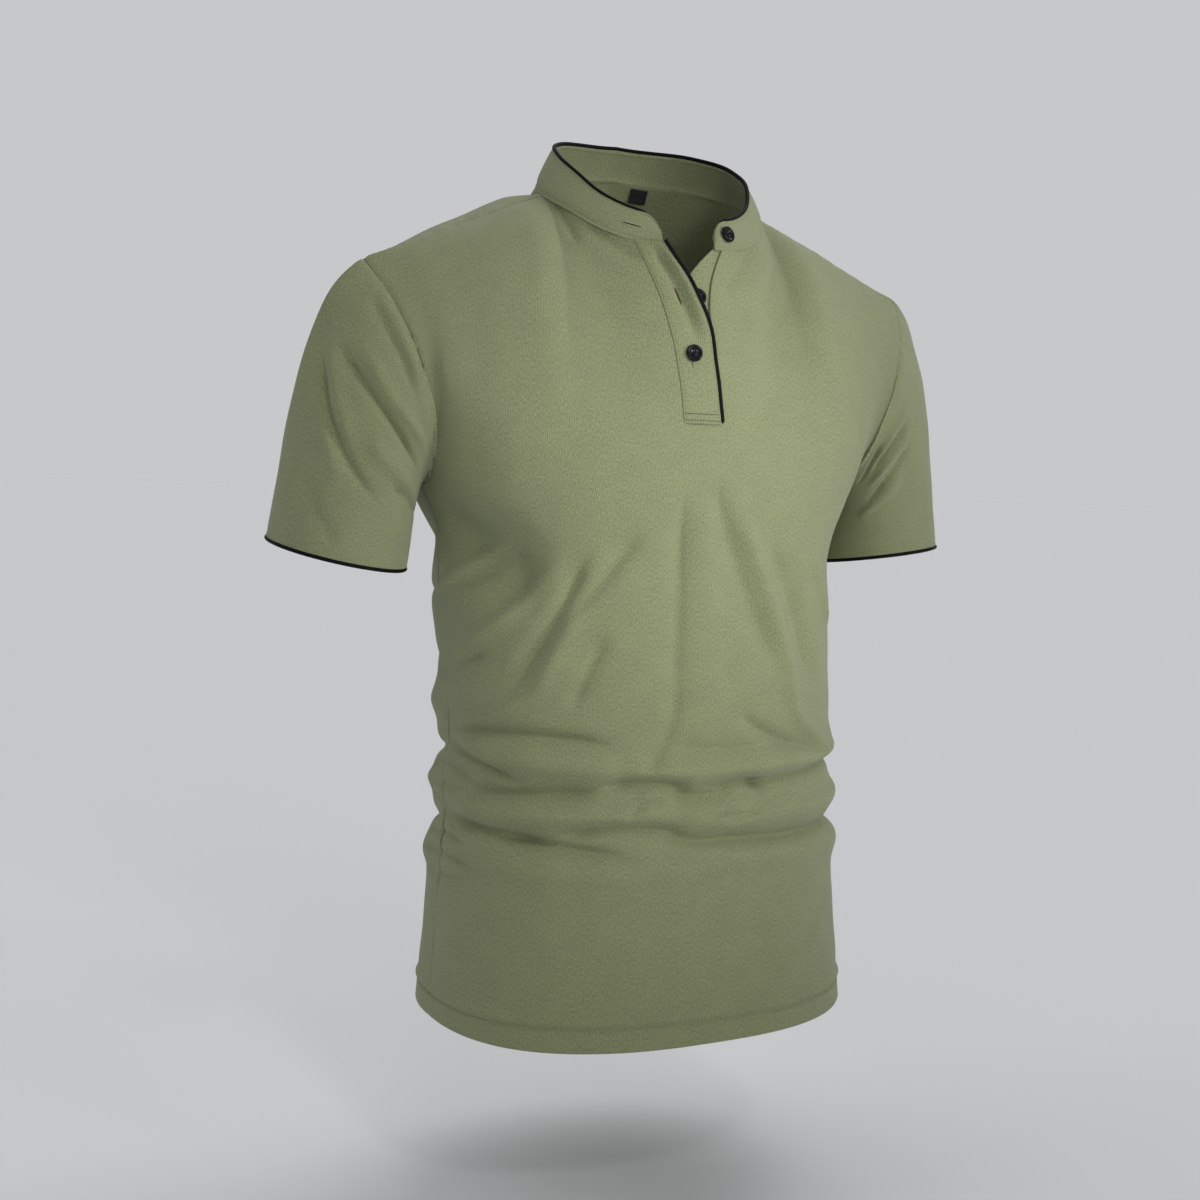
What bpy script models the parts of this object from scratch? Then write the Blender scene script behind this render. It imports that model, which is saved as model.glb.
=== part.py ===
"""Short-sleeved polo shirt with a stand collar, filled out as if it were worn. Metres.

+Z is up, the front faces -Y and the wearer's left is +X. The origin lies midway between the two
points where the shoulder seams meet the collar.

A panel is drawn in two coordinates. Across it u runs from -1 at the right side seam to 1 at the
left one. Up it v runs from -1 at the hem to 0 at the underarm and 1 at the neck and shoulders.
"""

import math
from collections import namedtuple

import bmesh
import bpy
import numpy as np
from mathutils import Vector

FRONT, BACK = -1, 1
RIGHT, LEFT = -1, 1

# ---------------------------------------------------------------- driving dimensions
UNDERARM = -0.208  # height where side seam and sleeve meet
SQUARENESS = 2.3  # exponent of the torso sections: 2 is an ellipse, more is boxier

# The torso from the hem up to the underarm
Section = namedtuple("Section", "height half_width front back centre")
TORSO = (
    Section(-0.590, 0.1585, 0.136, 0.129, 0.002),
    Section(-0.510, 0.1530, 0.130, 0.118, 0.005),
    Section(-0.430, 0.1485, 0.126, 0.108, 0.008),
    Section(-0.350, 0.1465, 0.123, 0.104, 0.009),
    Section(-0.290, 0.1505, 0.121, 0.105, 0.018),
    Section(-0.245, 0.1580, 0.119, 0.104, 0.023),
    Section(-0.208, 0.1690, 0.115, 0.100, 0.019),
    Section(-0.170, 0.1820, 0.110, 0.097, 0.020),
)

# The hem's height across the front and the back, from the wearer's right to the left
HemPoint = namedtuple("HemPoint", "across front back")
HEM = (
    HemPoint(-1.0, -0.5860, -0.586),
    HemPoint(-0.6, -0.5870, -0.587),
    HemPoint(-0.3, -0.5850, -0.587),
    HemPoint(0.0, -0.5825, -0.586),
    HemPoint(0.5, -0.5810, -0.584),
    HemPoint(1.0, -0.5800, -0.580),
)

# The neck seam, by the angle about the neck from the centre front
NECK_HALF_WIDTH = 0.0865
NECK_FRONT_DEPTH = 0.0715
NECK_BACK_DEPTH = 0.071
NECK_CENTRE = 0.002
NECK_FRONT_POWER = 1.75  # exponents of the two halves: 2 is round, less comes to a point
NECK_BACK_POWER = 2.0
NeckPoint = namedtuple("NeckPoint", "angle height")
NECK = (
    NeckPoint(0, -0.0368),
    NeckPoint(25, -0.0355),
    NeckPoint(50, -0.0250),
    NeckPoint(70, -0.0110),
    NeckPoint(90, 0.0000),
    NeckPoint(110, 0.0105),
    NeckPoint(135, 0.0200),
    NeckPoint(180, 0.0275),
)

SHOULDER_TIP = (0.2163, 0.004, -0.054)  # where a shoulder seam meets the sleeve
NECK_SHARE = 0.37  # share of half a panel's top edge that the neck seam takes
# Directions in which the cloth arrives at the neck seam and at the shoulder seam, per metre risen.
# The worn garment sits fuller over its right shoulder than over its left one.
Arrival = namedtuple("Arrival", "neck right_shoulder left_shoulder")
ARRIVAL = {
    FRONT: Arrival((0, 0.25, 1.0), (0, 1.1, 0.30), (0, 1.1, 0.30)),
    BACK: Arrival((0, -0.5, 0.8), (0, -1.1, -0.72), (0, -1.1, -0.35)),
}
ARRIVAL_BLEND = (0.5, 1.3)  # shares of the neck seam's u between which one turns into the other
ARMHOLE_PULL = 4  # power of u with which a panel is drawn towards its armholes
SLOPE_STEP = 0.01  # below the underarm, over which the slope is taken

# The armhole seam, in even steps from the underarm up to the shoulder; right_rise is how much
# higher the back half of the right one lies, where the shoulder is fuller
ArmholePoint = namedtuple("ArmholePoint", "height out front back right_rise")
ARMHOLE = (
    ArmholePoint(-0.208, 0.1690, 0.019, 0.019, 0.0),
    ArmholePoint(-0.195, 0.1700, -0.012, 0.046, 0.0),
    ArmholePoint(-0.166, 0.1760, -0.036, 0.069, 0.0),
    ArmholePoint(-0.134, 0.1863, -0.042, 0.077, 0.002),
    ArmholePoint(-0.105, 0.1960, -0.036, 0.070, 0.008),
    ArmholePoint(-0.077, 0.2065, -0.018, 0.046, 0.014),
    ArmholePoint(-0.054, 0.2163, 0.004, 0.004, 0.0),
)

# The placket by height: where the seam and the free edge of each strip lie, as x. The strips are
# buttoned at the foot and spread apart at the neck, where the cloth turns away.
PLACKET_FOOT = -0.1604
PlacketRow = namedtuple("PlacketRow", "height upper_seam upper_edge under_seam under_edge")
PLACKET = (
    PlacketRow(-0.1604, -0.0165, 0.0127, 0.0127, -0.0155),
    PlacketRow(-0.1300, -0.0187, 0.0100, 0.0105, -0.0180),
    PlacketRow(-0.1000, -0.0227, 0.0060, 0.0088, -0.0190),
    PlacketRow(-0.0750, -0.0283, -0.0035, 0.0082, -0.0150),
    PlacketRow(-0.0580, -0.0338, -0.0112, 0.0120, -0.0070),
    PlacketRow(-0.0470, -0.0382, -0.0180, 0.0172, 0.0035),
    PlacketRow(-0.0368, -0.0421, -0.0235, 0.0232, 0.0158),
)
UPPER_STRIP_LIFT = 0.005  # how far the free edge of the open upper strip stands off the chest
STRIP_LIFT_FROM, STRIP_LIFT_TO = -0.118, -0.080  # heights over which it rises

# Sleeves: the hem is an ellipse that tips outwards and forwards
Sleeve = namedtuple("Sleeve", "side out back height half_width half_depth tip_out tip_front cap_out")
SLEEVES = (
    Sleeve(RIGHT, 0.2230, 0.034, -0.2565, 0.0492, 0.056, 9.6, 7, 0.142),
    Sleeve(LEFT, 0.2240, 0.034, -0.2525, 0.0490, 0.056, 8, -3, 0.108),
)
# How far and in which direction the sleeve's curves leave the armhole (the cap outwards by cap_out)
# and arrive at the hem
CAP_FALL, UNDERARM_LEAVE = -0.085, (0.03, 0, -0.03)
CAP_ARRIVE, UNDERARM_ARRIVE = 0.22, 0.06
SLEEVE_GAP = 0.0011  # at the armhole

# The collar band by the angle about the neck from the centre front
CollarRow = namedtuple("CollarRow", "angle rise lean")
COLLAR = (
    CollarRow(0, 0.0190, 0.0055),
    CollarRow(50, 0.0215, 0.0085),
    CollarRow(90, 0.0255, 0.0130),
    CollarRow(135, 0.0245, 0.0100),
    CollarRow(180, 0.0225, 0.0065),
)
COLLAR_CORNER = 0.0145  # length over which each front end is rounded off
COLLAR_END_HEIGHT = 0.0012

CLOTH = 0.0014  # knitted cloth
DOUBLE_CLOTH = 0.0018  # collar and placket
GAP = 0.0004  # between neighbouring pieces
SEAM_TRIM = 0.0012  # the same gap, as a share of half a panel
TOP_TRIM = 0.0045  # and as a share of a panel's height above the underarm
COLLAR_SEAT = 0.0002  # the collar's lower edge above the neck seam
PIPING_RADIUS = 0.0014
PIPING_INSET = 0.0011  # middle of the placket's piping beyond the strip's free edge
PIPING_SIDES = 6
TUBE_REFERENCE = (0.11, 0.23, 0.97)  # no cord runs along this direction

BUTTON_RADIUS = 0.0060
BUTTON_THICKNESS = 0.0026
BUTTON_BEVEL = 0.0005
BUTTON_SIDES = 16
MIDDLE_BUTTON = (-0.0010, -0.0725)  # x and height
LOWER_BUTTON = (-0.0078, -0.1125)
COLLAR_BUTTON_INSET = 0.0135  # along the band, from its left front end
LABEL_CENTRE = 0.023  # x of the neck label, left of the middle
LABEL_WIDTH = 0.0130
LABEL_DROP = 0.0100
LABEL_PROBE = 0.05  # v over which the fall of the cloth at the label is taken
LABEL_THICKNESS = 0.0010
LABEL_TOP = 0.012  # v of its top edge below the neck seam
LABEL_CLEARANCE = 0.0011  # of the panel's facets, which cut across the curve

# Soft folds: a valley (depth below zero) or a ridge along a curve through three places
Fold = namedtuple("Fold", "side u1 height1 u2 height2 u3 height3 reach depth")
FOLDS = (
    # the rolls where the long body settles at the waist
    Fold(FRONT, -1.35, -0.372, -0.55, -0.425, 0.05, -0.409, 0.0080, -0.0060),
    Fold(FRONT, -0.20, -0.409, 0.30, -0.416, 1.35, -0.403, 0.0075, -0.0050),
    Fold(FRONT, -1.35, -0.345, -0.45, -0.402, 0.10, -0.390, 0.0110, 0.0045),
    Fold(FRONT, 0.00, -0.391, 0.45, -0.392, 1.35, -0.380, 0.0110, 0.0040),
    Fold(FRONT, -1.35, -0.443, -0.45, -0.438, 0.00, -0.443, 0.0075, -0.0050),
    Fold(FRONT, -0.12, -0.447, 0.30, -0.442, 1.35, -0.446, 0.0070, -0.0045),
    Fold(FRONT, -1.35, -0.424, -0.35, -0.426, 0.10, -0.427, 0.0080, 0.0035),
    Fold(FRONT, 0.05, -0.431, 0.45, -0.426, 1.35, -0.428, 0.0080, 0.0035),
    Fold(FRONT, -0.74, -0.452, -0.45, -0.446, -0.24, -0.460, 0.0060, -0.0035),
    Fold(FRONT, -1.35, -0.470, -0.20, -0.468, 1.35, -0.466, 0.0120, 0.0030),
    Fold(BACK, -1.35, -0.375, -0.30, -0.425, 0.35, -0.402, 0.0080, -0.0060),
    Fold(BACK, -0.10, -0.409, 0.45, -0.430, 1.35, -0.403, 0.0080, -0.0050),
    Fold(BACK, -1.35, -0.345, -0.30, -0.402, 0.40, -0.380, 0.0110, 0.0045),
    Fold(BACK, 0.05, -0.388, 0.50, -0.402, 1.35, -0.380, 0.0110, 0.0040),
    Fold(BACK, -1.35, -0.443, -0.35, -0.452, 0.45, -0.447, 0.0075, -0.0050),
    Fold(BACK, 0.20, -0.455, 0.60, -0.440, 1.35, -0.446, 0.0070, -0.0045),
    Fold(BACK, -1.35, -0.424, -0.35, -0.434, 0.50, -0.428, 0.0080, 0.0035),
    Fold(BACK, -1.35, -0.472, -0.20, -0.474, 1.35, -0.468, 0.0120, 0.0030),
    # drapes that hang from the armpits and the collar
    Fold(FRONT, -0.42, -0.265, -0.50, -0.300, -0.60, -0.345, 0.0130, -0.0030),
    Fold(FRONT, -0.62, -0.250, -0.75, -0.290, -0.90, -0.325, 0.0120, -0.0030),
    Fold(FRONT, 0.22, -0.270, 0.28, -0.320, 0.50, -0.375, 0.0130, 0.0030),
    Fold(FRONT, -0.25, -0.025, -0.19, -0.036, -0.14, -0.050, 0.0050, -0.0020),
    Fold(FRONT, 0.22, -0.030, 0.15, -0.048, 0.07, -0.075, 0.0055, -0.0025),
)
FOLD_STEPS = 16  # straight steps along a fold's curve
FOLD_FADE = 0.25  # share of a fold's length over which each end fades out
SEAM_BLEND = 0.8  # u from which a panel's folds turn into those it shares with the other panel
HALF_GIRTH = 0.215  # of a panel at the waist, from its middle to a side seam

# Facets
SIDE_COLUMNS = 9  # of a panel on each side of the placket
FOOT_ROWS = 3  # from the underarm up to the foot of the placket
UPPER_ROWS = 8  # from there up to the neck
ROW_CROWDING = 1.5  # more than 1 brings these rows closer together towards the shoulder
SLEEVE_ROWS = 8
COLLAR_COLUMNS = 36
COLLAR_CORNER_COLUMNS = 4
COLLAR_ROWS = 3
STRIP_COLUMNS = 4
# Heights at which the rows of the lower body are close together, and where they are far apart
RowBand = namedtuple("RowBand", "v rows")
LOWER_BANDS = (RowBand(-0.74, 3), RowBand(-0.38, 13), RowBand(0.0, 5))


# ---------------------------------------------------------------- curves
def smooth_through(xs, ys, x):
    """Cubic curve through the points (xs, ys), with the slopes of their neighbours."""
    xs, ys, x = np.asarray(xs, float), np.asarray(ys, float), np.asarray(x, float)
    slopes = np.gradient(ys, xs)
    i = np.clip(np.searchsorted(xs, x) - 1, 0, len(xs) - 2)
    width = xs[i + 1] - xs[i]
    t = np.clip((x - xs[i]) / width, 0, 1)
    start = (1 + 2 * t) * (1 - t) ** 2 * ys[i] + t * (1 - t) ** 2 * width * slopes[i]
    end = t * t * (3 - 2 * t) * ys[i + 1] + t * t * (t - 1) * width * slopes[i + 1]
    return start + end


def smooth_step(low, high, x):
    t = np.clip((np.asarray(x, float) - low) / (high - low), 0, 1)
    return t * t * (3 - 2 * t)


def column(table, name, key, x):
    return smooth_through([getattr(row, key) for row in table], [getattr(row, name) for row in table], x)


def hermite(start, leave, end, arrive, t):
    t = t[..., None]
    return (
        (1 + 2 * t) * (1 - t) ** 2 * start
        + t * (1 - t) ** 2 * leave
        + t * t * (3 - 2 * t) * end
        + t * t * (t - 1) * arrive
    )


def points(x, y, z):
    return np.stack(np.broadcast_arrays(x, y, z), axis=-1).astype(float)


def girth_samples():
    """Even girth shares 0..1 of a quarter section, with the matching share of its half width."""
    angle = np.linspace(0, math.pi / 2, 400)
    across = np.sin(angle) ** (2 / SQUARENESS)
    depth = np.cos(angle) ** (2 / SQUARENESS)
    waist = TORSO[3]
    steps = np.hypot(np.diff(across) * waist.half_width, np.diff(depth) * waist.front)
    length = np.concatenate([[0], np.cumsum(steps)])
    return length / length[-1], across


GIRTH, ACROSS = girth_samples()


# ---------------------------------------------------------------- the body's surface
def lower_body(side, u, z):
    """Outer face of the cloth at or below the underarm."""
    across = np.sign(u) * np.interp(np.abs(u), GIRTH, ACROSS)
    depth = column(TORSO, "front" if side == FRONT else "back", "height", z)
    rounding = np.clip(1 - np.abs(across) ** SQUARENESS, 0, 1) ** (1 / SQUARENESS)
    x = across * column(TORSO, "half_width", "height", z)
    return points(x, column(TORSO, "centre", "height", z) + side * depth * rounding, z)


def neck_seam(side, share):
    """The neck seam on the front or the back half, at a share of its half width."""
    power = NECK_FRONT_POWER if side == FRONT else NECK_BACK_POWER
    depth = NECK_FRONT_DEPTH if side == FRONT else NECK_BACK_DEPTH
    round_y = np.clip(1 - np.abs(share) ** power, 0, 1) ** (1 / power)
    angle = np.degrees(np.arctan2(np.abs(share), round_y))
    height = column(NECK, "height", "angle", angle if side == FRONT else 180 - angle)
    return points(share * NECK_HALF_WIDTH, NECK_CENTRE + side * depth * round_y, height)


def top_edge(side, u):
    """Neck seam in the middle, and a shoulder seam on each side of it."""
    size = np.abs(u)
    t = np.clip(size / NECK_SHARE, 0, 1)
    neck = neck_seam(side, np.sign(u) * (t + t * t - t**3))
    along = np.clip((size - NECK_SHARE) / (1 - NECK_SHARE), 0, 1)[..., None]
    sides = np.sign(u)[..., None] * np.array([1, 0, 0]) + np.array([0, 1, 1])
    start = neck_seam(side, np.array(1.0)) * sides
    shoulder = start + (np.array(SHOULDER_TIP) * sides - start) * along
    return np.where((size < NECK_SHARE)[..., None], neck, shoulder)


def armhole(side, v, edge):
    """Half of the armhole seam at one edge, from the underarm (v = 0) to the shoulder (v = 1)."""
    step = np.linspace(0, 1, len(ARMHOLE))

    def read(name):
        return smooth_through(step, [getattr(row, name) for row in ARMHOLE], v)

    rise = read("right_rise") * (np.asarray(edge) == RIGHT) * (side == BACK)
    return points(edge * read("out"), read("front" if side == FRONT else "back"), read("height") + rise)


def upper_curves(side, u, v):
    """Curves from the underarm level up to the top edge."""
    start = lower_body(side, u, UNDERARM)
    end = top_edge(side, u)
    rise = (end - start)[..., 2:]
    slope = (start - lower_body(side, u, UNDERARM - SLOPE_STEP)) / SLOPE_STEP
    over = smooth_step(ARRIVAL_BLEND[0], ARRIVAL_BLEND[1], np.abs(u) / NECK_SHARE)[..., None]
    neck, right, left = (np.array(direction) for direction in ARRIVAL[side])
    shoulder = np.where((u < 0)[..., None], right, left)
    return hermite(start, slope * rise, end, (neck * (1 - over) + shoulder * over) * rise, v)


def smooth_body(side, u, v):
    """Outer face of a panel without its folds."""
    u, v = np.broadcast_arrays(np.asarray(u, float), np.asarray(v, float))
    hem = column(HEM, "front" if side == FRONT else "back", "across", u)
    low = lower_body(side, u, UNDERARM + np.minimum(v, 0) * (UNDERARM - hem))
    up = np.maximum(v, 0)
    edge = np.sign(u)
    pull = (armhole(side, up, edge) - upper_curves(side, edge, up)) * (u**ARMHOLE_PULL)[..., None]
    return np.where((v < 0)[..., None], low, upper_curves(side, u, up) + pull)


def outward(side, u, v):
    """Unit vectors out of the cloth."""
    step = 1e-3
    along = smooth_body(side, np.minimum(u + step, 1), v) - smooth_body(side, np.maximum(u - step, -1), v)
    up = smooth_body(side, u, np.minimum(v + step, 1)) - smooth_body(side, u, np.maximum(v - step, -1))
    normal = np.cross(along, up) * (1 if side == FRONT else -1)
    return normal / np.linalg.norm(normal, axis=-1, keepdims=True)


def bend(start, middle, end, t):
    """Quadratic curve through three places."""
    t = np.asarray(t)[:, None]
    pull = 2 * middle - (start + end) / 2
    return (1 - t) ** 2 * start + 2 * t * (1 - t) * pull + t * t * end


def fold_shape(places, start, middle, end, reach, depth):
    """Depth of one fold at 2-D places: a soft trough or ridge along a curve that fades at its ends."""
    t = np.linspace(0, 1, FOLD_STEPS + 1)
    line = bend(np.array(start), np.array(middle), np.array(end), t)
    nearest = np.full(places.shape[:-1], np.inf)
    where = np.zeros(places.shape[:-1])
    for a, b, t0 in zip(line[:-1], line[1:], t[:-1]):
        step = b - a
        along = np.clip(((places - a) @ step) / (step @ step), 0, 1)
        gap = np.linalg.norm(places - a - along[..., None] * step, axis=-1)
        closer = gap < nearest
        nearest = np.where(closer, gap, nearest)
        where = np.where(closer, t0 + along / FOLD_STEPS, where)
    fade = smooth_step(0, FOLD_FADE, where) * smooth_step(0, FOLD_FADE, 1 - where)
    return depth * fade * np.exp(-((nearest / reach) ** 2))


def panel_folds(side, u, z):
    """Depth of all the folds of one panel."""
    places = np.stack([u * HALF_GIRTH, z], axis=-1)
    total = np.zeros(z.shape)
    for f in FOLDS:
        if f.side == side:
            ends = ((f.u1, f.height1), (f.u2, f.height2), (f.u3, f.height3))
            ends = [(u_end * HALF_GIRTH, height) for u_end, height in ends]
            total += fold_shape(places, *ends, f.reach, f.depth)
    return total


def body_folds(side, u, z):
    """The same, with front and back drawn together towards the side seams, where they meet."""
    near_seam = smooth_step(SEAM_BLEND, 1, np.abs(u))
    at_seam = (panel_folds(FRONT, np.sign(u), z) + panel_folds(BACK, np.sign(u), z)) / 2
    return panel_folds(side, u, z) * (1 - near_seam) + at_seam * near_seam


def body_point(side, u, v, out=0.0):
    """Outer face of a panel, or a face that lies out from it."""
    u, v = np.broadcast_arrays(np.asarray(u, float), np.asarray(v, float))
    place = smooth_body(side, u, v)
    return place + outward(side, u, v) * (body_folds(side, u, place[..., 2]) + out)[..., None]


def u_at(side, x, v):
    """The u at which a panel has a given x, for matching lists of x and v."""
    u = np.linspace(-0.5, 0.5, 401)
    return np.array([np.interp(a, smooth_body(side, u, b)[:, 0], u) for a, b in zip(x, v)])


def v_at(z):
    """The v at which the front's middle has a given height above the underarm."""
    v = np.linspace(0, 1, 401)
    return np.interp(z, smooth_body(FRONT, 0, v)[:, 2], v)


def placket_u(name, v):
    """The u of an edge of the placket; below the placket it stays as at the foot."""
    v = np.maximum(v, v_at(PLACKET_FOOT))
    height = smooth_body(FRONT, 0, v)[:, 2]
    return u_at(FRONT, column(PLACKET, name, "height", height), v)


# ---------------------------------------------------------------- meshes
def material(name, colour, roughness):
    made = bpy.data.materials.new(name)
    made.use_nodes = True
    shader = made.node_tree.nodes["Principled BSDF"]
    shader.inputs["Base Color"].default_value = (*colour, 1)
    shader.inputs["Roughness"].default_value = roughness
    return made


def mesh_object(name, corners, faces, paint):
    mesh = bpy.data.meshes.new(name)
    mesh.from_pydata([tuple(corner) for corner in corners], [], faces)
    mesh.materials.append(paint)
    mesh.shade_smooth()
    made = bpy.data.objects.new(name, mesh)
    bpy.context.scene.collection.objects.link(made)
    return made


def grid_faces(rows, columns, closed=False):
    """Quads of a grid by row and column; a closed grid joins its last column to its first."""
    faces = {}
    for i in range(rows - 1):
        for j in range(columns if closed else columns - 1):
            k = (j + 1) % columns
            faces[i, j] = (i * columns + j, i * columns + k, (i + 1) * columns + k, (i + 1) * columns + j)
    return faces


def cloth_wall(name, grid, paint, thickness, closed=False, flip=False, holes=()):
    """A wall of cloth on a grid of places on one of its faces, behind the side the quads turn to.

    holes are cells left out.
    """
    faces = grid_faces(*grid.shape[:2], closed)
    faces = [face[::-1] if flip else face for cell, face in faces.items() if cell not in holes]
    used = sorted({index for face in faces for index in face})
    place = {index: n for n, index in enumerate(used)}
    faces = [tuple(place[index] for index in face) for face in faces]
    made = mesh_object(name, grid.reshape(-1, 3)[used], faces, paint)
    wall = made.modifiers.new("Wall", "SOLIDIFY")
    wall.thickness = thickness
    wall.offset = -1
    return made


def tube(name, centres, paint, closed=False):
    """A round cord through the centres."""
    before, after = np.roll(centres, 1, axis=0), np.roll(centres, -1, axis=0)
    if not closed:
        before[0], after[-1] = centres[0], centres[-1]
    ahead = after - before
    ahead /= np.linalg.norm(ahead, axis=1, keepdims=True)
    side = np.cross(ahead, TUBE_REFERENCE)
    side /= np.linalg.norm(side, axis=1, keepdims=True)
    over = np.cross(side, ahead)
    turn = np.arange(PIPING_SIDES) / PIPING_SIDES * 2 * math.pi
    ring = side[:, None] * np.cos(turn)[:, None] + over[:, None] * np.sin(turn)[:, None]
    grid = centres[:, None] + PIPING_RADIUS * ring
    if closed:
        grid = np.concatenate([grid, grid[:1]])
    count = len(centres)
    faces = [
        tuple(i % (count * PIPING_SIDES) for i in face)
        for face in grid_faces(len(grid), PIPING_SIDES, closed=True).values()
    ]
    if not closed:
        faces.append(tuple(range(PIPING_SIDES))[::-1])
        faces.append(tuple(range((count - 1) * PIPING_SIDES, count * PIPING_SIDES)))
    corners = grid.reshape(-1, 3)[: count * PIPING_SIDES]
    return mesh_object(name, corners, [face[::-1] for face in faces], paint)


# ---------------------------------------------------------------- body
def panel_rows():
    """v of a panel's rows from the hem up, and the number of the row at the placket's foot."""
    rows = [-1.0]
    for band in (*LOWER_BANDS, RowBand(v_at(PLACKET_FOOT), FOOT_ROWS)):
        rows.extend(np.linspace(rows[-1], band.v, band.rows + 1)[1:])
    share = 1 - (1 - np.linspace(0, 1, UPPER_ROWS + 1)[1:]) ** ROW_CROWDING
    foot = len(rows) - 1
    return np.concatenate([rows, rows[-1] + (1 - TOP_TRIM - rows[-1]) * share]), foot


def front(paint):
    v, foot = panel_rows()
    right = placket_u("upper_seam", v) - SEAM_TRIM
    left = placket_u("under_seam", v) + SEAM_TRIM
    share = np.linspace(0, 1, SIDE_COLUMNS + 1)
    end = 1 - SEAM_TRIM
    u = np.concatenate(
        [
            -end + (right + end)[:, None] * share,
            (right + left)[:, None] / 2,
            left[:, None] + (end - left)[:, None] * share,
        ],
        axis=1,
    )
    holes = {(i, j) for i in range(foot, len(v)) for j in (SIDE_COLUMNS, SIDE_COLUMNS + 1)}
    return cloth_wall("front", body_point(FRONT, u, v[:, None]), paint, CLOTH, holes=holes)


def back(paint):
    v, _ = panel_rows()
    u = np.linspace(-1 + SEAM_TRIM, 1 - SEAM_TRIM, 2 * SIDE_COLUMNS + 3)
    return cloth_wall("back", body_point(BACK, u[None, :], v[:, None]), paint, CLOTH, flip=True)


# ---------------------------------------------------------------- placket
def strip_rows():
    v, foot = panel_rows()
    v = v[foot:].copy()
    v[0] += TOP_TRIM / 2
    return v


def strip_lift(v):
    """How far the upper strip's free edge stands off the chest."""
    height = smooth_body(FRONT, 0, v)[:, 2]
    return UPPER_STRIP_LIFT * smooth_step(STRIP_LIFT_FROM, STRIP_LIFT_TO, height)


def placket_upper(paint):
    v = strip_rows()
    seam, edge = placket_u("upper_seam", v) + SEAM_TRIM, placket_u("upper_edge", v)
    share = np.linspace(0, 1, STRIP_COLUMNS + 1)
    u = seam[:, None] + (edge - seam)[:, None] * share
    out = GAP + strip_lift(v)[:, None] * share**2
    return cloth_wall("placket_upper", body_point(FRONT, u, v[:, None], out), paint, DOUBLE_CLOTH)


def placket_under(paint):
    v = strip_rows()
    seam, edge = placket_u("under_seam", v) - SEAM_TRIM, placket_u("under_edge", v)
    share = np.linspace(0, 1, STRIP_COLUMNS + 1)
    u = edge[:, None] + (seam - edge)[:, None] * share
    grid = body_point(FRONT, u, v[:, None], -CLOTH - GAP)
    return cloth_wall("placket_under", grid, paint, DOUBLE_CLOTH)


def placket_piping(paint):
    v = strip_rows()
    u = placket_u("upper_edge", v) + PIPING_INSET / HALF_GIRTH
    out = GAP + strip_lift(v) + PIPING_RADIUS
    return tube("placket_piping", body_point(FRONT, u, v, out), paint)


# ---------------------------------------------------------------- collar
def collar_base():
    """Steps along the neck seam, closer at the ends: places, and distances from the nearer front end."""
    right, left = (abs(x) / NECK_HALF_WIDTH for x in (PLACKET[-1].upper_edge, PLACKET[-1].under_edge))
    front_right = neck_seam(FRONT, -np.sin(np.linspace(math.asin(right), math.pi / 2, 200)))
    back_half = neck_seam(BACK, -np.cos(np.linspace(0, math.pi, 400)[1:-1]))
    front_left = neck_seam(FRONT, np.sin(np.linspace(math.pi / 2, math.asin(left), 200)))
    path = np.concatenate([front_right, back_half, front_left])
    length = np.concatenate([[0], np.cumsum(np.linalg.norm(np.diff(path, axis=0), axis=1))])
    corner = COLLAR_CORNER * (1 - np.cos(np.linspace(0, math.pi / 2, COLLAR_CORNER_COLUMNS + 1)))
    middle = np.linspace(COLLAR_CORNER, length[-1] - COLLAR_CORNER, COLLAR_COLUMNS + 1)[1:-1]
    steps = np.concatenate([corner, middle, length[-1] - corner[::-1]])
    place = np.stack([np.interp(steps, length, path[:, axis]) for axis in range(3)], axis=-1)
    return place, np.minimum(steps, length[-1] - steps)


def collar_grid():
    """Places on the band's inner face by row and column, and the way up at each column."""
    base, from_end = collar_base()
    x, y = base[:, 0] / NECK_HALF_WIDTH, (base[:, 1] - NECK_CENTRE) / NECK_BACK_DEPTH
    angle = np.degrees(np.arctan2(np.abs(x), -y))
    rise, lean = column(COLLAR, "rise", "angle", angle), column(COLLAR, "lean", "angle", angle)
    out = np.stack([x, y, np.zeros(len(x))], axis=-1)
    out /= np.linalg.norm(out, axis=1, keepdims=True)
    rounded = np.sqrt(np.clip(1 - (1 - np.clip(from_end / COLLAR_CORNER, 0, 1)) ** 2, 0, 1))
    rounded = np.maximum(rounded, COLLAR_END_HEIGHT / rise)
    up = rounded[:, None] * (rise[:, None] * [0, 0, 1] - lean[:, None] * out)
    base = base + np.array([0, 0, COLLAR_SEAT])
    share = np.linspace(0, 1, COLLAR_ROWS + 1)
    return base + share[:, None, None] * up, up


def collar_band(paint):
    grid, _ = collar_grid()
    return cloth_wall("collar_band", grid, paint, DOUBLE_CLOTH)


def collar_piping(paint):
    grid, up = collar_grid()
    inside = slice(COLLAR_CORNER_COLUMNS, len(up) - COLLAR_CORNER_COLUMNS)
    up = up[inside] / np.linalg.norm(up[inside], axis=1, keepdims=True)
    return tube("collar_piping", grid[-1, inside] + up * (PIPING_RADIUS + 2 * GAP), paint)


def neck_label(paint):
    x = np.array([LABEL_CENTRE - LABEL_WIDTH / 2, LABEL_CENTRE + LABEL_WIDTH / 2])
    top = 1 - LABEL_TOP
    u = np.linspace(*u_at(BACK, x, [top, top]), 4)
    height = smooth_body(BACK, u[1], np.array([top, top - LABEL_PROBE]))[:, 2]
    v = np.linspace(top - LABEL_DROP * LABEL_PROBE / (height[0] - height[1]), top, 4)
    grid = body_point(BACK, u[None, :], v[:, None], -CLOTH - GAP - LABEL_CLEARANCE)
    return cloth_wall("neck_label", grid, paint, LABEL_THICKNESS, flip=True)


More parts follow.
